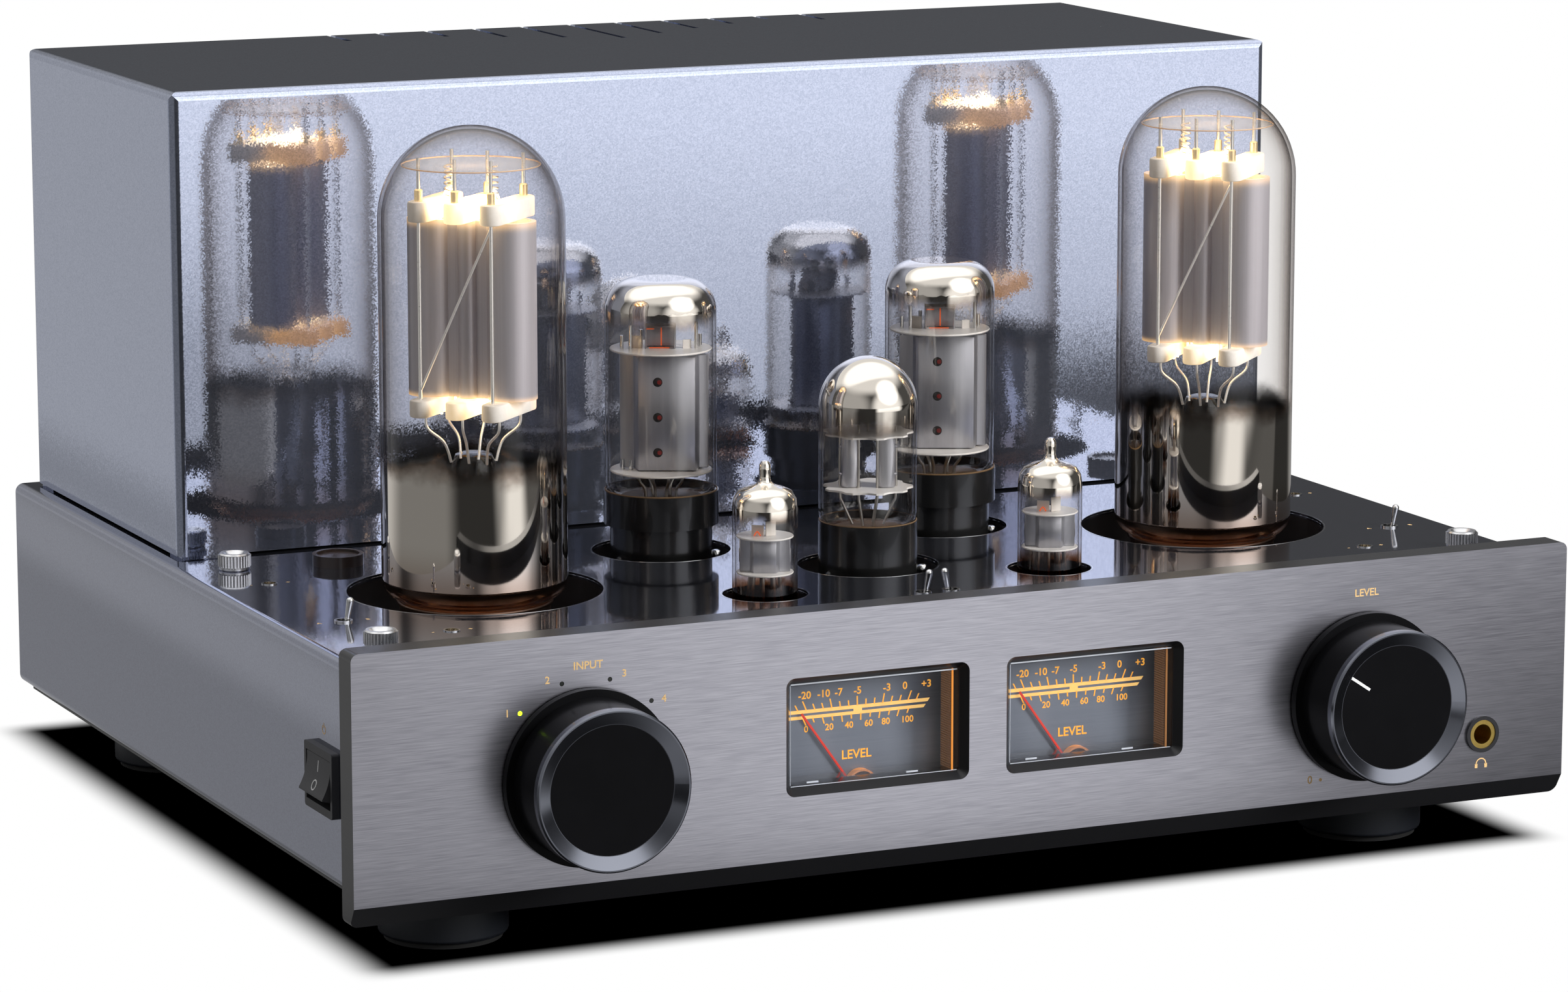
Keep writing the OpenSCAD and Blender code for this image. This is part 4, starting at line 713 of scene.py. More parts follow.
class Recipe(Nodes):
    """A Geometry Nodes tree with named sizes, ending in one plain mesh with its finish."""

    def __init__(self, name, sizes):
        super().__init__(bpy.data.node_groups.new(name, "GeometryNodeTree"))
        wanted = [("Geometry", "NodeSocketGeometry")]
        wanted += [(size, "NodeSocketFloat") for size in sizes]
        wanted += [("Finish", "NodeSocketMaterial")]
        for label, kind in wanted:
            self.tree.interface.new_socket(label, in_out="INPUT", socket_type=kind)
        self.tree.interface.new_socket("Geometry", in_out="OUTPUT", socket_type="NodeSocketGeometry")
        entry = self.tree.nodes.new("NodeGroupInput")
        self.given = {socket.name: Link(self, socket) for socket in entry.outputs if socket.name}

    def close(self, geometry):
        plain = self.node("GeometryNodeRealizeInstances", None, {0: geometry})
        smooth = self.node("GeometryNodeSetShadeSmooth", None, {0: plain})
        dressed = self.node("GeometryNodeSetMaterial", None, {0: smooth, "Material": self.given["Finish"]})
        self.node("NodeGroupOutput", None, {0: dressed})
        return self

    def grow(self, name, start, finish, **sizes):
        """The mesh that the tree makes from a start mesh."""
        holder = bpy.data.objects.new(name, start)
        scene.collection.objects.link(holder)
        modifier = holder.modifiers.new(name, "NODES")
        modifier.node_group = self.tree
        for item in self.tree.interface.items_tree:
            if item.in_out == "INPUT" and item.name in sizes:
                modifier[item.identifier] = sizes[item.name] * MM
            if item.in_out == "INPUT" and item.name == "Finish":
                modifier[item.identifier] = finish.material
        view = bpy.context.evaluated_depsgraph_get()
        mesh = bpy.data.meshes.new_from_object(holder.evaluated_get(view))
        holder.modifiers.remove(modifier)
        bpy.data.objects.remove(holder)
        mesh.set_sharp_from_angle(angle=math.radians(SHARP))
        return mesh


def wire_recipe():
    """Round wire along the edges of the start mesh."""
    wire = Recipe("wire_along_paths", ["Radius"])
    line = wire.node("GeometryNodeMeshToCurve", None, {0: wire.given["Geometry"]})
    round_section = wire.node("GeometryNodeCurvePrimitiveCircle", {"mode": "RADIUS"},
                              {"Resolution": 10, "Radius": wire.given["Radius"]})
    drawn = wire.node("GeometryNodeCurveToMesh", None, {0: line, 1: round_section, "Fill Caps": True})
    return wire.close(drawn)


def spring_recipe():
    """A coil spring standing on each point of the start mesh."""
    spring = Recipe("springs_on_points", ["Coil radius", "Height", "Radius"])
    coil = spring.node("GeometryNodeCurveSpiral", None, {
        "Resolution": 20, "Rotations": 6.0, "Start Radius": spring.given["Coil radius"],
        "End Radius": spring.given["Coil radius"], "Height": spring.given["Height"]})
    round_section = spring.node("GeometryNodeCurvePrimitiveCircle", {"mode": "RADIUS"},
                                {"Resolution": 8, "Radius": spring.given["Radius"]})
    drawn = spring.node("GeometryNodeCurveToMesh", None, {0: coil, 1: round_section, "Fill Caps": True})
    return spring.close(spring.node("GeometryNodeInstanceOnPoints", None, {
        "Points": spring.given["Geometry"], "Instance": drawn}))


def knurl_recipe(ribs):
    """A ring of upright ribs round each point of the start mesh."""
    knurl = Recipe("ribs_round_points", ["Ring radius", "Height", "Rib"])
    rib = knurl.node("GeometryNodeMeshCylinder", None, {
        "Vertices": 6, "Radius": knurl.given["Rib"], "Depth": knurl.given["Height"]})
    ring = knurl.node("GeometryNodeMeshCircle", None, {
        "Vertices": ribs, "Radius": knurl.given["Ring radius"]})
    around = knurl.node("GeometryNodeInstanceOnPoints", None, {"Points": ring, "Instance": rib})
    return knurl.close(knurl.node("GeometryNodeInstanceOnPoints", None, {
        "Points": knurl.given["Geometry"], "Instance": around}))


wire_tree = wire_recipe()
spring_tree = spring_recipe()


def points_mesh(name, points):
    made = bpy.data.meshes.new(name)
    made.from_pydata([tuple(p) for p in points], [], [])
    return made


def wires(name, paths, radius, finish):
    """Wires of one radius along paths of metres."""
    corners = []
    joins = []
    for path in paths:
        first = len(corners)
        corners += [tuple(p) for p in path]
        joins += [(first + i, first + i + 1) for i in range(len(path) - 1)]
    start = bpy.data.meshes.new(name)
    start.from_pydata(corners, joins, [])
    piece(name, wire_tree.grow(name, start, finish, Radius=radius), finish)


# Power valves

def bar_outline(x):
    """Round-ended ceramic bar across the valve."""
    return ([(x + px, -BAR_END + py) for px, py in arc((0, 0), BAR_R, 180, 360, 12)]
            + [(x + px, BAR_END + py) for px, py in arc((0, 0), BAR_R, 0, 180, 12)])


def power_valve_insides():
    """Ceramic bars, rods, filaments, springs, mica and stem of both power valves."""
    bars, micas, sleeves, stems = Shape(), Shape(), Shape(), Shape()
    rods, leads, thin, hot, spring_feet, warm = ([] for i in range(6))
    for place in power_places:
        local = on_deck(place, POWER_TURN)
        for x in BAR_PLACES:
            bars.prism(bar_outline(x), ANODE_TOP, ANODE_TOP + CERAMIC_H, local)
            bars.prism(bar_outline(x), ANODE_LOW - CERAMIC_H + 1, ANODE_LOW, local)
            for side in (-1, 1):
                foot = Matrix.Translation((x, side * BAR_END, 0))
                sleeves.turned([(0, 0), (1.3, 0), (1.3, 3.4), (0.9, 3.8), (0, 3.8)],
                               local @ foot @ Matrix.Translation((0, 0, ANODE_TOP + CERAMIC_H)), 20)
                rods.append(upright(x, side * BAR_END, ANODE_TOP + 2, MICA_Z + 3.2, local))
                bend = [(x, side * 8, ANODE_LOW - CERAMIC_H + 3), (x, side * 8, ANODE_LOW - CERAMIC_H - 3),
                        (x * 0.62, side * 5.5, STEM_TOP + 3.5), (x * 0.5, side * 3.6, STEM_TOP - 3)]
                leads.append(bent(bend, local))
        for x in (BAR_PLACES[0], BAR_PLACES[2]):
            for side in (-1, 1):
                rods.append(upright(x, side * BAR_END, ANODE_LOW - 2, ANODE_TOP + 2, local))
        slant = [(BAR_PLACES[2], -BAR_END, ANODE_TOP - 1), (BAR_PLACES[2] - 3.4, -BAR_END, ANODE_TOP - 8),
                 (BAR_PLACES[0] + 1.5, -BAR_END, ANODE_LOW + 6), (BAR_PLACES[0], -BAR_END, ANODE_LOW + 2)]
        thin.append(bent(slant, local))
        for x in (-7.5, 7.5):
            spring_feet.append(local @ Vector((x, 0, ANODE_TOP + CERAMIC_H)))
            for y in (-2.2, 2.2):
                loop = [(x - 2.4, y, ANODE_LOW - 6), (x - 2.2, y, ANODE_TOP - 4), (x, y * 0.3, ANODE_TOP + 9),
                        (x + 2.2, y, ANODE_TOP - 4), (x + 2.4, y, ANODE_LOW - 6)]
                hot.append(bent(loop, local, 10))
        micas.turned([(0, MICA_Z), (MICA_R, MICA_Z), (MICA_R + 0.2, MICA_Z + 0.3), (MICA_R, MICA_Z + 0.6),
                      (0, MICA_Z + 0.6)], local, 72)
        # Orange rims of the micas with a painted glow for the filaments' light on their edges
        rim = MICA_R + 0.1
        warm.append([local @ Vector((rim * math.cos(t), rim * math.sin(t), MICA_Z + 0.3))
                     for t in [math.radians(5 * i) for i in range(73)]])
        stems.turned([(0, -2), (9, -2), (8.4, 12), (8, 30), (7.4, 40), (5.8, STEM_TOP - 0.6), (4, STEM_TOP),
                      (0, STEM_TOP)], local, 48)
    bars.soften(0.7)
    piece("power_valve_ceramics", bars, ceramic_painted_glow,
          replaces=("power_valve_frames",))
    piece("power_valve_micas", micas, mica_clear)
    piece("power_valve_pin_sleeves", sleeves, pin_painted_glow)
    piece("power_valve_stems", stems, glass("stem_glass"))
    wires("power_valve_rods", rods, 0.6, rod_painted_glow)
    wires("power_valve_leads", leads, 0.45, rod_painted_glow)
    wires("power_valve_mica_rims", warm, 0.2, painted_mica_glow)
    wires("power_valve_slant_wires", thin, 0.42, rod_painted_glow)
    wires("power_valve_filaments", hot, 0.35, filament_hot)
    coils = spring_tree.grow("power_valve_springs", points_mesh("spring_feet", spring_feet), steel_wire,
                             **{"Coil radius": 1.5, "Height": MICA_Z - ANODE_TOP - CERAMIC_H, "Radius": 0.28})
    piece("power_valve_springs", coils, steel_wire)


# Driver valves

# Driver valve heights above the deck
DRIVER_MICA_LOW = 26.2
DRIVER_MICA_TOP = 66.2
DRIVER_ANODE_LOW = 27.2
DRIVER_ANODE_TOP = 64.6

# Driver valve posts: across, along and the height of the top
DRIVER_POSTS = ((-12.6, -2, 71), (-9.8, -3.2, 74.5), (11.6, -1.6, 75.5), (12.8, 2.4, 71), (-6.4, 4, 72))


def driver_valve_insides():
    """Folded anode with three holes, drawn as dark discs of painted shade with small discs of painted red
    glow, micas, top box with its heater, rods and leads.
    """
    anodes, micas, holes, glow_discs_painted, glue_rings, flags = (Shape() for i in range(6))
    rods, heaters, posts = [], [], []
    fold = [(15.6, -0.8), (15.6, 0.8), (12.4, 1.2), (11.4, 6.6), (-7.2, 6.6), (-8.8, 1.2), (-13.4, 0.8),
            (-13.4, -0.8), (-8.8, -1.2), (-7.2, -6.6), (11.4, -6.6), (12.4, -1.2)]
    for place in driver_places:
        local = on_deck(place, VALVE_TURN)
        anodes.prism(fold, DRIVER_ANODE_LOW, DRIVER_ANODE_TOP, local)
        for x in (-5, 4.4):
            anodes.block((x, -3.75, DRIVER_MICA_TOP + 0.6), (x + 0.6, 3.75, DRIVER_MICA_TOP + 8.2), local)
        anodes.block((-5, 1.5, DRIVER_MICA_TOP + 0.6), (5, 2.1, DRIVER_MICA_TOP + 8.2), local)
        anodes.block((-5, -3.75, DRIVER_MICA_TOP + 7.6), (5, 2.1, DRIVER_MICA_TOP + 8.2), local)
        for z in (DRIVER_MICA_LOW, DRIVER_MICA_TOP):
            micas.turned([(0, z), (16.5, z), (16.7, z + 0.3), (16.5, z + 0.6), (0, z + 0.6)], local, 64)
        # The holes are dark discs of painted shade on the anode's face; a smaller disc in each has a painted
        # red glow
        facing = local @ Matrix.Translation((-0.8, -6.62, 0)) @ STAND_UP
        for height in (33.1, 44.7, 56.3):
            holes.turned([(0, 0.04), (1.4, 0.04), (1.55, 0.0), (1.55, -0.3), (0, -0.3)],
                         facing @ Matrix.Translation((0, height, 0)), 24)
            glow_discs_painted.turned([(0, 0.1), (0.6, 0.1), (0.75, 0.05), (0.75, 0), (0, 0)],
                          facing @ Matrix.Translation((0.55, height, 0)), 20)
        glue_rings.turned([(0, 17.3), (17.0, 17.3), (17.1, 17.6), (0, 17.6)], local, 72)
        glue_rings.turned([(18.2, 19.6), (18.45, 19.6), (18.45, 20.4), (18.2, 20.5)], local, 72, True)
        for x, y, top in DRIVER_POSTS:
            posts.append(upright(x, y, DRIVER_MICA_TOP - 1.4, top, local))
            posts.append(upright(x, y, DRIVER_MICA_LOW - 2, DRIVER_MICA_LOW + 4, local))
        for x, y in ((-7, -3.4), (-2.4, -5), (2.6, -5), (7, -3.4), (-4, 4), (4, 4)):
            lead = [(x, y, DRIVER_MICA_LOW + 0.3), (x, y, 23.4), (x * 0.75, y * 0.75, 20.5),
                    (x * 0.7, y * 0.7, 17.2)]
            rods.append(bent(lead, local))
        top_line = DRIVER_MICA_TOP + 7.2
        low_line = DRIVER_MICA_TOP + 1
        heaters.append([local @ Vector((x, -3.8, low_line)) for x in (-3.6, 3)])
        heaters.append([local @ Vector((x, -3.8, top_line)) for x in (-4.4, -2)])
        heaters.append(upright(0.2, 1.2, low_line, top_line, local))
        foot = DRIVER_MICA_TOP + 0.6
        flags.prism([(-9.4, -1), (-6.2, -2.2), (-6, -1.8), (-9.2, -0.6)], foot, foot + 4, local)
        flags.prism([(7.4, -2.2), (10, -1.4), (9.9, -1), (7.3, -1.8)], foot, foot + 2.8, local)
    anodes.soften(0.25, 1)
    piece("driver_valve_works", anodes, valve_metal,
          replaces=("driver_valve_anodes",))
    piece("driver_valve_micas", micas, mica_milky)
    piece("driver_valve_holes", holes, painted_hole_shade)
    piece("driver_valve_painted_glow_discs", glow_discs_painted, painted_hole_glow)
    piece("driver_valve_flags", flags, flag_white)
    piece("driver_valve_glue", glue_rings, glue)
    wires("driver_valve_rods", rods, 0.5, steel_wire)
    wires("driver_valve_posts", posts, 0.62, chrome)
    wires("driver_valve_heaters", heaters, 0.16, heater_red)


# Centre valve and small valves

def star(points, outer, inner):
    """Scalloped mica outline."""
    return [(r * math.cos(a), r * math.sin(a)) for i in range(points * 4)
            for a in [2 * math.pi * i / (points * 4)]
            for r in [outer if i % 4 < 2 else inner]]


def centre_valve_insides():
    """Twin anodes between scalloped micas, rods, leads and the getter's post."""
    anodes, micas, glue_rings = Shape(), Shape(), Shape()
    rods = []
    local = on_deck(centre_place, VALVE_TURN)
    for x in (-5.8, 5.8):
        anodes.prism([(x - 2.9, -3.2), (x - 1.2, -4.4), (x + 1.2, -4.4), (x + 2.9, -3.2), (x + 2.9, 3.2),
                      (x + 1.2, 4.4), (x - 1.2, 4.4), (x - 2.9, 3.2)], 25.7, 42.6, local)
        for z in (29.5, 38.5):
            anodes.block((x - 3.6, -3.4, z), (x + 3.6, 3.4, z + 0.8), local)
    for z in (24.9, 42.8):
        micas.prism(star(9, 14.6, 13.1), z, z + 0.6, local)
    glue_rings.turned([(0, 11.8), (14.6, 11.8), (14.7, 12.1), (0, 12.1)], local, 64)
    glue_rings.turned([(15.6, 14.1), (15.85, 14.1), (15.85, 14.8), (15.6, 14.9)], local, 64, True)
    for x, y in ((-9, 0), (9, 0), (-3, 3.4), (3, 3.4), (-3, -3.4), (3, -3.4)):
        lead = [(x, y, 45), (x, y, 24), (x * 0.9, y, 20), (x * 0.55, y * 0.9, 13)]
        rods.append(bent(lead, local))
    rods.append(bent([(0, 0, 43), (0, 0, 52), (1, -1, 57)], local))
    anodes.soften(0.3, 1)
    piece("centre_valve_works", anodes, valve_metal,
          replaces=("centre_valve_anodes",))
    piece("centre_valve_micas", micas, mica_milky)
    piece("centre_valve_glue", glue_rings, glue)
    wires("centre_valve_rods", rods, 0.45, steel_wire)


# Pins of a small valve and the radius of their ring
PINS = 9
PIN_RING_R = 5.9


def small_valve_insides():
    """Grey electrode box, micas, nine pins and the glass button of each small valve."""
    anodes, micas, buttons, bulbs, flags = (Shape() for i in range(5))
    pins, heaters = [], []
    for place in small_places:
        local = on_deck(place, VALVE_TURN)
        straight = on_deck(place)
        anodes.prism([(-8, -1), (-4.6, -1.4), (-3.6, -4.2), (3.6, -4.2), (4.6, -1.4), (8, -1), (8, 1),
                      (4.6, 1.4), (3.6, 4.2), (-3.6, 4.2), (-4.6, 1.4), (-8, 1)], 7.2, 17.8, local)
        anodes.block((-8.2, -0.5, 10), (8.2, 0.5, 14.6), local)
        for z in (6.7, 18.2):
            micas.turned([(0, z), (8.9, z), (9.05, z + 0.25), (8.9, z + 0.5), (0, z + 0.5)], local, 48)
        buttons.turned([(0, -9.4), (6.9, -9.4), (6.9, -8.2), (6.2, -7.4), (0, -7.4)], straight, 40)
        for i in range(PINS):
            turn = 2 * math.pi * i / PINS
            x = PIN_RING_R * math.cos(turn)
            y = PIN_RING_R * math.sin(turn)
            pin = [(x, y, -16.4), (x, y, -6), (x * 0.9, y * 0.9, 0), (x * 0.8, y * 0.8, 7)]
            pins.append(bent(pin, straight))
        flags.prism([(-4.2, -1.6), (-0.4, -2.6), (-0.3, -2.2), (-4.1, -1.2)], 18.8, 22.2, local)
        flags.prism([(0.4, -2.6), (3.4, -1), (3.2, -0.6), (0.2, -2.2)], 18.8, 23.4, local)
        heaters.append(bent([(-3.4, -3, 19), (-2.4, -3.4, 20.4), (-1.4, -3, 19)], local))
        bulbs.turned([(0, -9.5), (9.4, -9.5), (10.2, -8.8), (10.35, -7.5), (10.35, 27.6), (9.9, 30.6),
                      (8.4, 33), (5.6, 34.3), (3.2, 34.9), (2.1, 35.8), (1.7, 37.4), (1.9, 39.4),
                      (1.8, 41.2), (1.1, 42.3), (0, 42.6)], straight, 64)
        bulbs.turned([(0, 33.2), (5, 33.2), (7.4, 32.2), (9, 30.2), (9.45, 27.6), (9.45, -7.4),
                      (9, -8.4), (0, -8.6)], straight, 64)
    anodes.soften(0.25, 1)
    piece("small_valve_works", anodes, valve_metal,
          replaces=("small_valve_frames",))
    piece("small_valve_micas", micas, mica_milky)
    piece("small_valve_buttons", buttons, glass("button_glass"))
    piece("small_valve_flags", flags, flag_white)
    piece("small_valve_bulbs", bulbs, small_glass,
          replaces=("small_valve_glasses",))
    wires("small_valve_pins", pins, 0.48, steel_wire)
    wires("small_valve_heaters", heaters, 0.2, heater_red)


# Front plate: prints, pointer and meters

# Height of a print's middle over its face, and the ink's underside and top about that
PRINT_LIFT = 0.02
INK_LOW = -0.02
INK_TOP = 0.03

# Words of the front plate: size, then across and up from the floor
FRONT_WORDS = (("INPUT", 3.4, -134.4, 91.7), ("1", 3.2, -160.6, 79.2), ("2", 3.2, -147.6, 88.2),
               ("3", 3.2, -122.6, 88.2), ("4", 3.2, -109.6, 79.2), ("LEVEL", 3.4, 135.1, 91.1),
               ("0", 3.6, 115.4, 31.5))


def front_prints():
    """Gold marks of the front plate: plain numbers and function words."""
    ink = Shape()
    for words, size, x, z in FRONT_WORDS:
        ink.words(words, size, on_plate(x * MM, z * MM, -PRINT_LIFT) @ STAND_UP)
    dot = on_plate(119.3 * MM, 31.3 * MM, -PRINT_LIFT) @ STAND_UP
    ink.turned([(0, INK_LOW), (0.55, INK_LOW), (0.55, INK_TOP), (0, INK_TOP)], dot, 20)
    headset = on_plate(jack.x, 31.1 * MM, -PRINT_LIFT) @ STAND_UP
    band = arc((0, -0.4), 2.0, 180, 0, 16) + arc((0, -0.4), 1.6, 0, 180, 16)
    ink.prism(band, INK_LOW, INK_TOP, headset)
    for x in (-1.8, 1.8):
        ink.block((x - 0.5, -1.7, INK_LOW), (x + 0.5, -0.3, INK_TOP), headset)
    power = (Matrix.Translation((shell_low.x - PRINT_LIFT * MM, plate_front + 31.5 * MM, 72.4 * MM))
             @ FACE_LEFT @ Matrix.Scale(MM, 4) @ STAND_UP)
    ink.prism(arc((0, 0), 1.5, 120, 420, 24) + arc((0, 0), 1.15, 420, 120, 24), INK_LOW, INK_TOP, power)
    ink.block((-0.18, 0.4, INK_LOW), (0.18, 2.0, INK_TOP), power)
    piece("front_prints", ink, print_gold)


def deck_marks():
    """Small gold marks beside the deck's trimmers and toggles."""
    ink = Shape()
    for side in (-1, 1):
        for x, y in ((186.6, 136.2), (160.6, 44.6)):
            spot = on_deck((side * x * MM, plate_front + y * MM))
            ink.words("-", 2.6, spot @ Matrix.Translation((-6.2, 0, PRINT_LIFT)), INK_TOP)
            ink.words("+", 2.6, spot @ Matrix.Translation((6.2, 0, PRINT_LIFT)), INK_TOP)
        spot = on_deck((side * 185.8 * MM, plate_front + 71.3 * MM))
        ink.words("A", 2.2, spot @ Matrix.Translation((-8, 0, PRINT_LIFT)), INK_TOP)
        ink.words("B", 2.2, spot @ Matrix.Translation((8, 0, PRINT_LIFT)), INK_TOP)
    piece("deck_marks", ink, print_gold)


# Volume pointer's turn from upright at rest, in degrees
POINTER_TURN = 56.5


def volume_pointer():
    """White line in the volume knob's disc."""
    line = Shape()
    turned = Matrix.Rotation(math.radians(POINTER_TURN), 4, "Z")
    disc = on_plate(volume.x, volume.z, -KNOB_FACE) @ STAND_UP @ turned
    line.block((-0.45, 12, -0.1), (0.45, 20, 0.06), disc)
    piece("volume_pointer", line, print_white, "volume")


# Rocker: its pivot, its tilt at rest in degrees, its hollow's radius and that arc's middle from the pivot
ROCKER_X = -204.75
ROCKER_Z = 57.3
ROCKER_TILT = 14
HOLLOW_R = 19
HOLLOW_MIDDLE = 24.2


def rocker_marks():
    """White on and off marks, each laid on the curve of the rocker's hollow face."""
    marks = Shape()
    pivot = Vector((ROCKER_X * MM, middle("power_rocker").y, ROCKER_Z * MM))
    hollow = (Matrix.Translation(pivot) @ Matrix.Rotation(math.radians(ROCKER_TILT), 4, "Y") @ FACE_LEFT
              @ Matrix.Scale(MM, 4) @ STAND_UP @ Matrix.Translation((0, 0, HOLLOW_MIDDLE)))

    def on_face(angle):
        return hollow @ Matrix.Rotation(math.radians(angle), 4, "X") @ Matrix.Translation((0, 0, -HOLLOW_R))

    marks.block((-0.25, -1.75, -0.2), (0.25, 1.75, 0.12), on_face(8.9))
    marks.turned([(1.3, -0.2), (1.72, -0.2), (1.72, 0.12), (1.3, 0.12)], on_face(-8.8), 36, True)
    piece("rocker_marks", marks, print_white, "rocker")


# Depth of the dial behind the plate's face, half the ink's thickness, and the ticks' half width and lean
DIAL_Y = 14
DIAL_INK = 0.02
TICK_HALF_W = 0.22
TICK_LEAN = 0.55 / 23

# Numbers over and under the scale's bars, each with its place across
SCALE_MARKS = ((-18.6, "-20"), (-12.1, "-10"), (-7, "-7"), (-0.5, "-5"), (9.6, "-3"), (15.8, "0"),
               (23.2, "+3"))
SHARE_MARKS = ((-18.1, "0"), (-10.2, "20"), (-3.4, "40"), (3.3, "60"), (9.2, "80"), (16.6, "100"))

# Needle's pivot on the dial: across and up from the floor; then the lens's middle and its face's depth
PIVOT = (0, 42.6)
LENS_Z = 62.8
LENS_Y = 3.1

# Lower left and upper right corners of the pale strips painted as highlights on the lens's upper, lower and
# left edges
LENS_HIGHLIGHTS = (((-28.4, 15.7), (28.4, 16.1)), ((-28.4, -16.2), (28.4, -16.0)), ((-28.6, -15.6), (-28.45, 15.6)))


def tick(ink, at, root, length, dial):
    """A tick that leans outwards, more so far from the middle; a negative length hangs down."""
    lean = TICK_LEAN * at * length
    ink.prism([(at - TICK_HALF_W, root), (at + TICK_HALF_W, root), (at + TICK_HALF_W + lean, root + length),
               (at - TICK_HALF_W + lean, root + length)], -DIAL_INK, DIAL_INK, dial)


def meter_fronts():
    """Scale bars, ticks and numbers, the pivot's boss and the lamp strip of each meter, and pale strips
    painted as highlights on each lens's edges.
    """
    ink, bars, bosses, boss_rims, strips, columns, rims = (Shape() for i in range(7))
    for x in meter_places:
        dial = on_plate(x, 0, DIAL_Y - 0.03) @ STAND_UP
        bars.prism([(-26, 66.7), (23.6, 66.7), (24.4, 67.8), (-26, 67.8)], -DIAL_INK, DIAL_INK, dial)
        bars.prism([(-26, 64.9), (22.2, 64.9), (23, 65.9), (-26, 65.9)], -DIAL_INK, DIAL_INK, dial)
        bars.block((-1.9, 65.4, -0.03), (1, 67.2, 0.03), dial)
        for i in range(16):
            tick(ink, -23.8 + i * 2.9, 67.6, 3.0 if i % 3 == 2 else 1.9, dial)
        for i in range(12):
            tick(ink, -19.2 + i * 3.3, 65.1, -2.2 if i % 2 == 0 else -1.5, dial)
        for at, words in SCALE_MARKS:
            ink.words(words, 3.3, dial @ Matrix.Translation((at, 72.3, 0)), 0.03)
        for at, words in SHARE_MARKS:
            ink.words(words, 2.9, dial @ Matrix.Translation((at, 61.6, 0)), 0.03)
        ink.words("LEVEL", 4.0, dial @ Matrix.Translation((-0.9, 52.2, 0)), 0.03)
        boss_rims.prism(arc(PIVOT, 5.2, 0, 180, 28) + arc(PIVOT, 4.6, 180, 0, 28), 0.1, 2.6, dial)
        bosses.prism(arc(PIVOT, 4.6, 0, 180, 28), 0.1, 1.6, dial)
        for i in range(44):
            columns.block((27.2, 46.6 + i * 0.74, 2), (27.6, 47.05 + i * 0.74, 8.2), dial)
        strips.block((27.2, 46.6, 9.4), (27.6, 78.8, 10.0), dial)
        lens = on_plate(x, LENS_Z * MM, LENS_Y) @ STAND_UP
        for low, high in LENS_HIGHLIGHTS:
            rims.block((*low, -0.1), (*high, 0.12), lens)
        # Two short pale marks on the lens's lower edge, in the same finish
        for at in (-21, 13):
            rims.block((at - 2, -15.4, -0.1), (at + 2, -14.9, 0.12), lens)
    piece("meter_scales", ink, scale_orange)
    piece("meter_bars", bars, bar_orange)
    piece("meter_bosses", bosses, copper)
    piece("meter_boss_rims", boss_rims, painted_glow_copper)
    piece("meter_lamp_strips", strips, strip_orange)
    piece("meter_lamp_columns", columns, strip_dim)
    piece("meter_lens_painted_highlights", rims, lens_highlight_strips)


# Deck and rear fittings

# Radii of the deck's valve holes
POWER_HOLE_R = 40.5
OCTAL_HOLE_R = 22.7
SMALL_HOLE_R = 13.5


def deck_hole_edges():
    """Bright edges of the deck's valve holes, octal socket screws and beads of the power valves' bases."""
    edges, beads, screws = Shape(), Shape(), Shape()
    holes = [(p, POWER_HOLE_R) for p in power_places] + [(p, SMALL_HOLE_R) for p in small_places]
    holes += [(p, OCTAL_HOLE_R) for p in driver_places + [centre_place]]
    for place, r in holes:
        edges.turned([(r - 0.05, -0.8), (r + 0.3, 0.04), (r + 0.55, 0.04), (r + 0.6, -0.2)],
                     on_deck(place), 96, True)
    for place in driver_places + [centre_place]:
        for side in (-1, 1):
            screws.turned([(0, -9.5), (1.5, -9.5), (1.5, -3.8), (2, -3.8), (2, -2.8), (1.4, -2), (0.6, -1.7),
                           (0, -1.7)], on_deck(place) @ Matrix.Translation((side * 19.7, 0, 0)), 24)
    for place in power_places:
        for z in (-3.4, -9.5):
            beads.turned([(23.8 + dx, z + dz) for dx, dz in arc((0, 0), 0.9, -90, 90, 8)] + [(23.4, z)],
                         on_deck(place), 96, True)
    piece("deck_hole_edges", edges, chrome)
    piece("octal_socket_screws", screws, chrome)
    piece("power_valve_base_beads", beads, brown_base)


def guard_nuts():
    """Knurled bright nuts at the deck's corners."""
    nuts = Shape()
    low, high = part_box("guard_sockets")
    head = 5.5 * MM
    places = [(x, y) for x in (low.x + head, high.x - head) for y in (low.y + head, high.y - head)]
    for place in places:
        nuts.turned([(2.05, -4.5), (5.0, -4.5), (5.0, -1.5), (3.2, -1.5), (3.2, 0), (4.6, 0), (5.0, 0.4),
                     (5.0, 0.9), (4.7, 1.1), (4.7, 5.0), (4.95, 5.1), (4.6, 5.6), (3.6, 5.6), (2.4, 4.2),
                     (2.05, 4.0)], on_deck(place), 64, True)
    piece("guard_nuts", nuts, nut_metal, replaces=("guard_sockets",))
    starts = points_mesh("guard_places", [on_deck(p) @ Vector((0, 0, 3.1)) for p in places])
    ribs = knurl_recipe(30).grow("guard_ribs", starts, nut_metal,
                                 **{"Ring radius": 4.95, "Height": 3.7, "Rib": 0.4})
    piece("guard_ribs", ribs, nut_metal)


# Middle of each group of speaker posts, and the pitch of posts and line sockets
POST_GROUP_X = 142
CONNECTOR_PITCH = 22


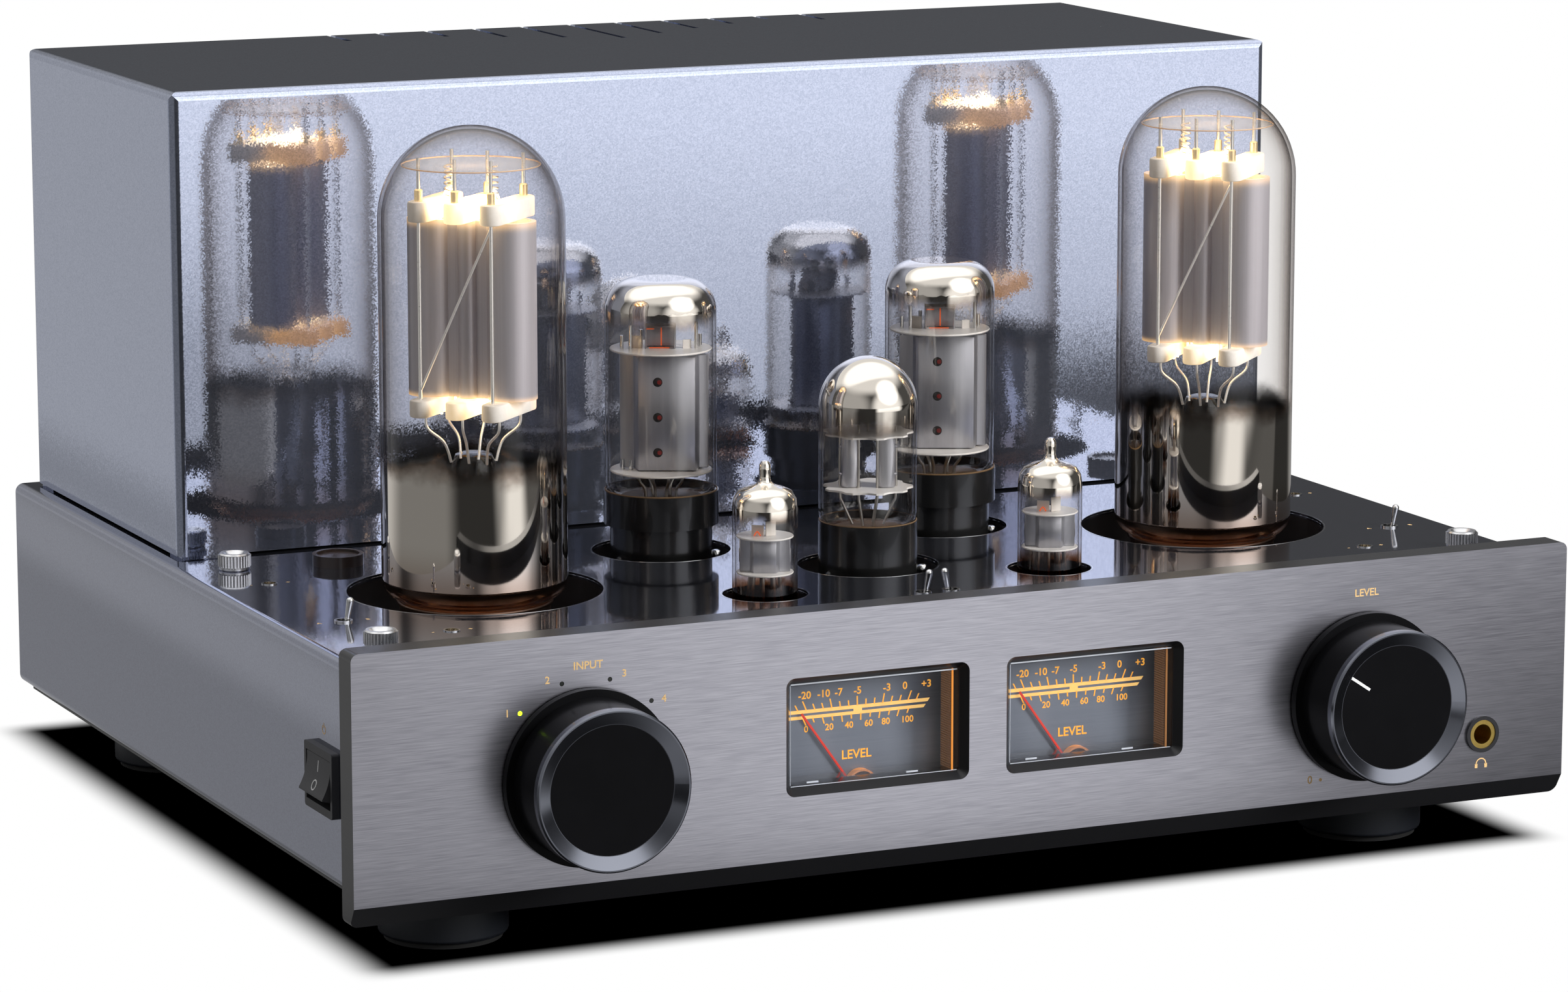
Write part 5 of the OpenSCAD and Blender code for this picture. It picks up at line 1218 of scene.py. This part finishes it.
def rear_bands():
    """Coloured bands and ribs on the rear connectors."""
    red, white, black = Shape(), Shape(), Shape()
    panel_y = shell_high.y
    up = middle("speaker_posts").z
    posts = [(side * POST_GROUP_X + i * CONNECTOR_PITCH, i) for side in (-1, 1) for i in (-1, 0, 1)]
    turn_back = Matrix.Rotation(math.radians(-90), 4, "X")
    for x, i in posts:
        place = Matrix.Translation((x * MM, panel_y, up)) @ turn_back @ Matrix.Scale(MM, 4)
        band = red if i else black
        band.turned([(6.5, 15.5), (7.3, 15.5), (7.5, 15.9), (7.5, 20.6), (7.3, 21), (6.5, 21)],
                    place, 48, True)
        band.turned([(6.5, 3.0), (8.2, 3.0), (8.2, 5.2), (6.5, 5.2)], place, 48, True)
    for i in range(3):
        for side in (-0.5, 0.5):
            x = CONNECTOR_PITCH * (i + 0.4)
            place = (Matrix.Translation((x * MM, panel_y, up + side * CONNECTOR_PITCH * MM)) @ turn_back
                     @ Matrix.Scale(MM, 4))
            band = red if side < 0 else white
            band.turned([(1.7, 8.6), (3.6, 8.6), (3.6, 10.1), (1.7, 10.1)], place, 36, True)
    piece("rear_bands_red", red, red_band)
    piece("rear_bands_white", white, white_band)
    piece("rear_bands_black", black, black_plastic)


power_valve_insides()
driver_valve_insides()
centre_valve_insides()
small_valve_insides()
front_prints()
deck_marks()
deck_hole_edges()
volume_pointer()
rocker_marks()
meter_fronts()
guard_nuts()
rear_bands()


# Studio

# Strongest level that a reflection meets, where 1 is white, and the sky's level on matt surfaces
BRIGHTEST = 2.5
AMBIENT = 0.1

# Edges of the floor's dark patch: across, then behind the front plate's face, and half their softness
SHADOW_LEFT = -199
SHADOW_RIGHT = 211.6
SHADOW_FRONT = 12
SHADOW_BACK = 379
SHADOW_SOFT = 9

# The photograph's viewpoint: metres, degrees below level, degrees to the right, then millimetres of lens
CAMERA_PLACE = (-0.7747, -1.6992, 0.4492)
CAMERA_DOWN = 10.4629
CAMERA_RIGHT = 24.7555
LENS_LENGTH = 129.8
SENSOR_WIDTH = 36

# Heights over the deck of the glow at the top and the bottom of a power valve's anode
GLOW_TOP = 126
GLOW_LOW = 58


def studio_floor():
    """White floor with a drawn soft shadow; reflections meet bright and dark places on it."""
    ground = Shape()
    ground.block((-6000, -6000, -20), (6000, 6000, 0), Matrix.Scale(MM, 4))
    mesh = ground.mesh("studio_floor")
    paper = Finish("studio_paper")
    x, y, _ = paper.axes()

    def past(value, edge):
        return paper.ease(value, edge - SHADOW_SOFT * MM, edge + SHADOW_SOFT * MM)

    inside = (past(x, SHADOW_LEFT * MM) * (1 - past(x, SHADOW_RIGHT * MM))
              * past(y, plate_front + SHADOW_FRONT * MM)
              * (1 - past(y, plate_front + SHADOW_BACK * MM)))
    camera_rays = paper.node("ShaderNodeLightPath", output="Is Camera Ray")
    gloss_rays = paper.node("ShaderNodeLightPath", output="Is Glossy Ray")

    # Direction and distance from the object's middle, and place along the plate as the camera mirrors it
    turn = paper.node("ShaderNodeMath", {"operation": "ARCTAN2"}, {0: y, 1: x})
    away = (x * x + y * y) ** 0.5
    under_plate = x + (y + 0.17) * 0.46

    # Ahead: a bright wedge, dim at the plate's two ends, and a strip close to the plate
    right_end = paper.ease(under_plate, 0.05, 0.25) * paper.ease(y, -0.95, -0.65) * 0.95
    left_end = (1 - paper.ease(under_plate, -0.3, -0.1)) * paper.ease(y, -1.4, -0.7) * 0.7
    wedge = (paper.band(turn, -1.75, -1.55, -0.75, -0.5)
             * (paper.ease(away, 0.9, 2.2) * 0.48 + 0.94) * (1 - right_end) * (1 - left_end))
    close = ((paper.ease(under_plate, -0.23, -0.01) * 0.5 + 0.42)
             * (1 - paper.ease(under_plate, 0.03, 0.23) * 0.92)
             * paper.ease(under_plate, -0.36, -0.26) * (1 - paper.ease(y, -0.275, -0.22)))
    near = paper.ease(y, -0.75, -0.5)
    front = wedge + (close - wedge) * near

    # Behind and at the sides: dim ground, and a strip beside the left wall with a paler line in it
    rear = paper.band(turn, 1.2, 1.6, 2.3, 2.8)
    left = 1 - paper.ease(turn, -2.6, -2.3) + paper.ease(turn, 2.3, 2.8)
    beyond = 1 - paper.ease(x, -0.42, -0.37)
    bend = paper.band(x, -0.37, -0.345, -0.33, -0.305)
    flank = (1 - beyond) * (1 - paper.ease(x, -0.24, -0.225)) * paper.ease(y, -0.12, -0.07)
    rear_right = paper.band(turn, 0.2, 0.5, 1.2, 1.6)
    around = rear * (beyond * 0.1 + 0.4) + rear_right * 0.25 + left * 0.18
    mirrored = front * 0.97 + around + (bend * 0.12 + 0.335 - around) * flank + 0.03

    level = (camera_rays + gloss_rays * mirrored) * (1 - inside) / BRIGHTEST
    shown = paper.node("ShaderNodeEmission", None, {
        "Color": paper.mix(level, (0, 0, 0, 1), (1, 1, 1, 1)), "Strength": BRIGHTEST})
    matt = paper.node("ShaderNodeBsdfDiffuse", None, {
        "Color": paper.mix(inside, (0.25, 0.25, 0.25, 1), (0.02, 0.02, 0.02, 1))})
    seen = camera_rays.peak(gloss_rays)
    paper.done(paper.node("ShaderNodeMixShader", None, {0: seen, 1: matt, 2: shown}))
    paper.material.cycles.emission_sampling = "NONE"
    floor = bpy.data.objects.new("studio_floor", mesh)
    scene.collection.objects.link(floor)
    mesh.materials.append(paper.material)


def studio_world():
    """White behind the object for the camera and for glass; dim with bright places for reflections."""
    world = bpy.data.worlds.new("studio")
    scene.world = world
    world.use_nodes = True
    sky = Nodes(world.node_tree)
    camera_rays = sky.node("ShaderNodeLightPath", output="Is Camera Ray")
    clear_rays = sky.node("ShaderNodeLightPath", output="Is Transmission Ray")
    gloss_rays = sky.node("ShaderNodeLightPath", output="Is Glossy Ray")
    seen = camera_rays.peak(clear_rays)
    toward = sky.node("ShaderNodeTexCoord", output="Generated")
    split = sky.node("ShaderNodeSeparateXYZ", sockets={0: toward}).socket.node
    x, y, z = [Link(sky, socket) for socket in split.outputs]
    ease = sky.ease

    # Bright places by direction: high up, right front, left, a round patch on top, a window, rear left
    above = ease(z + ease(y, 0.2, 0.7) * 0.22, 0.42, 0.72)
    right_front = ease(x * 0.38 - y * 0.92, 0.7, 0.92) * (1 - above)
    left = ease(x * -0.9 - y * 0.43, 0.6, 0.92) * (1 - above)
    lean = y - 0.1
    spread = (x * x * 0.38 + lean * lean) ** 0.5
    top = (1 - ease(spread, 0.4, 0.52)) * ease(z, 0, 0.2)
    window = ease(x * 0.42 - y * 0.74 + z * 0.53, 0.86, 0.95)
    rear_left = ease(x * -1, 0.02, 0.2) * ease(y, 0.5, 0.75) * (1 - above)
    mirrored = (above * 0.78 + top * 0.6 + window * 1.1 + right_front + left * 0.35 + rear_left * 0.4
                + 0.075)
    level = seen + (1 - seen) * (AMBIENT + gloss_rays * (mirrored - AMBIENT))
    lit = sky.node("ShaderNodeBackground", None, {"Color": (1, 1, 1, 1), "Strength": level})
    sky.node("ShaderNodeOutputWorld", None, {"Surface": lit})


def hang(lamp, place, power):
    """Put a lamp in its place, unseen by the camera and in reflections."""
    lamp.energy = power
    holder = bpy.data.objects.new(lamp.name, lamp)
    scene.collection.objects.link(holder)
    holder.location = place
    holder.visible_camera = False
    holder.visible_glossy = False
    return holder


def softbox(name, place, target, width, height, power):
    lamp = bpy.data.lights.new(name, "AREA")
    lamp.shape = "RECTANGLE"
    lamp.size = width
    lamp.size_y = height
    holder = hang(lamp, place, power)
    holder.rotation_euler = (Vector(target) - Vector(place)).to_track_quat("-Z", "Y").to_euler()


def valve_glow(name, place, height, power):
    lamp = bpy.data.lights.new(name, "POINT")
    lamp.color = (1.0, 0.66, 0.34)
    lamp.shadow_soft_size = 3 * MM
    hang(lamp, (place[0], place[1], deck_top + height * MM), power)


def portrait_camera():
    """The photograph's viewpoint: a long lens from the left and a little above."""
    lens = bpy.data.cameras.new("portrait")
    lens.sensor_width = SENSOR_WIDTH
    lens.lens = LENS_LENGTH
    lens.clip_end = 50
    camera = bpy.data.objects.new("portrait", lens)
    scene.collection.objects.link(camera)
    camera.location = CAMERA_PLACE
    camera.rotation_euler = (math.radians(90 - CAMERA_DOWN), 0, math.radians(-CAMERA_RIGHT))
    scene.camera = camera


studio_floor()
studio_world()
softbox("key_right", (1.25, -1.35, 0.85), (0.05, -0.05, 0.12), 0.5, 0.9, 50)
softbox("fill_left", (-1.5, -0.25, 0.55), (0, 0, 0.12), 0.7, 1.2, 1.5)
softbox("back_right", (0.9, 1.6, 0.9), (0, 0.15, 0.08), 0.8, 0.8, 14)
softbox("overhead", (0, -0.1, 1.7), (0, 0, 0.1), 1.6, 1.0, 14)
for side, place in enumerate(power_places):
    valve_glow("valve_glow_top_%d" % side, place, GLOW_TOP, 0.07)
    valve_glow("valve_glow_low_%d" % side, place, GLOW_LOW, 0.05)
portrait_camera()
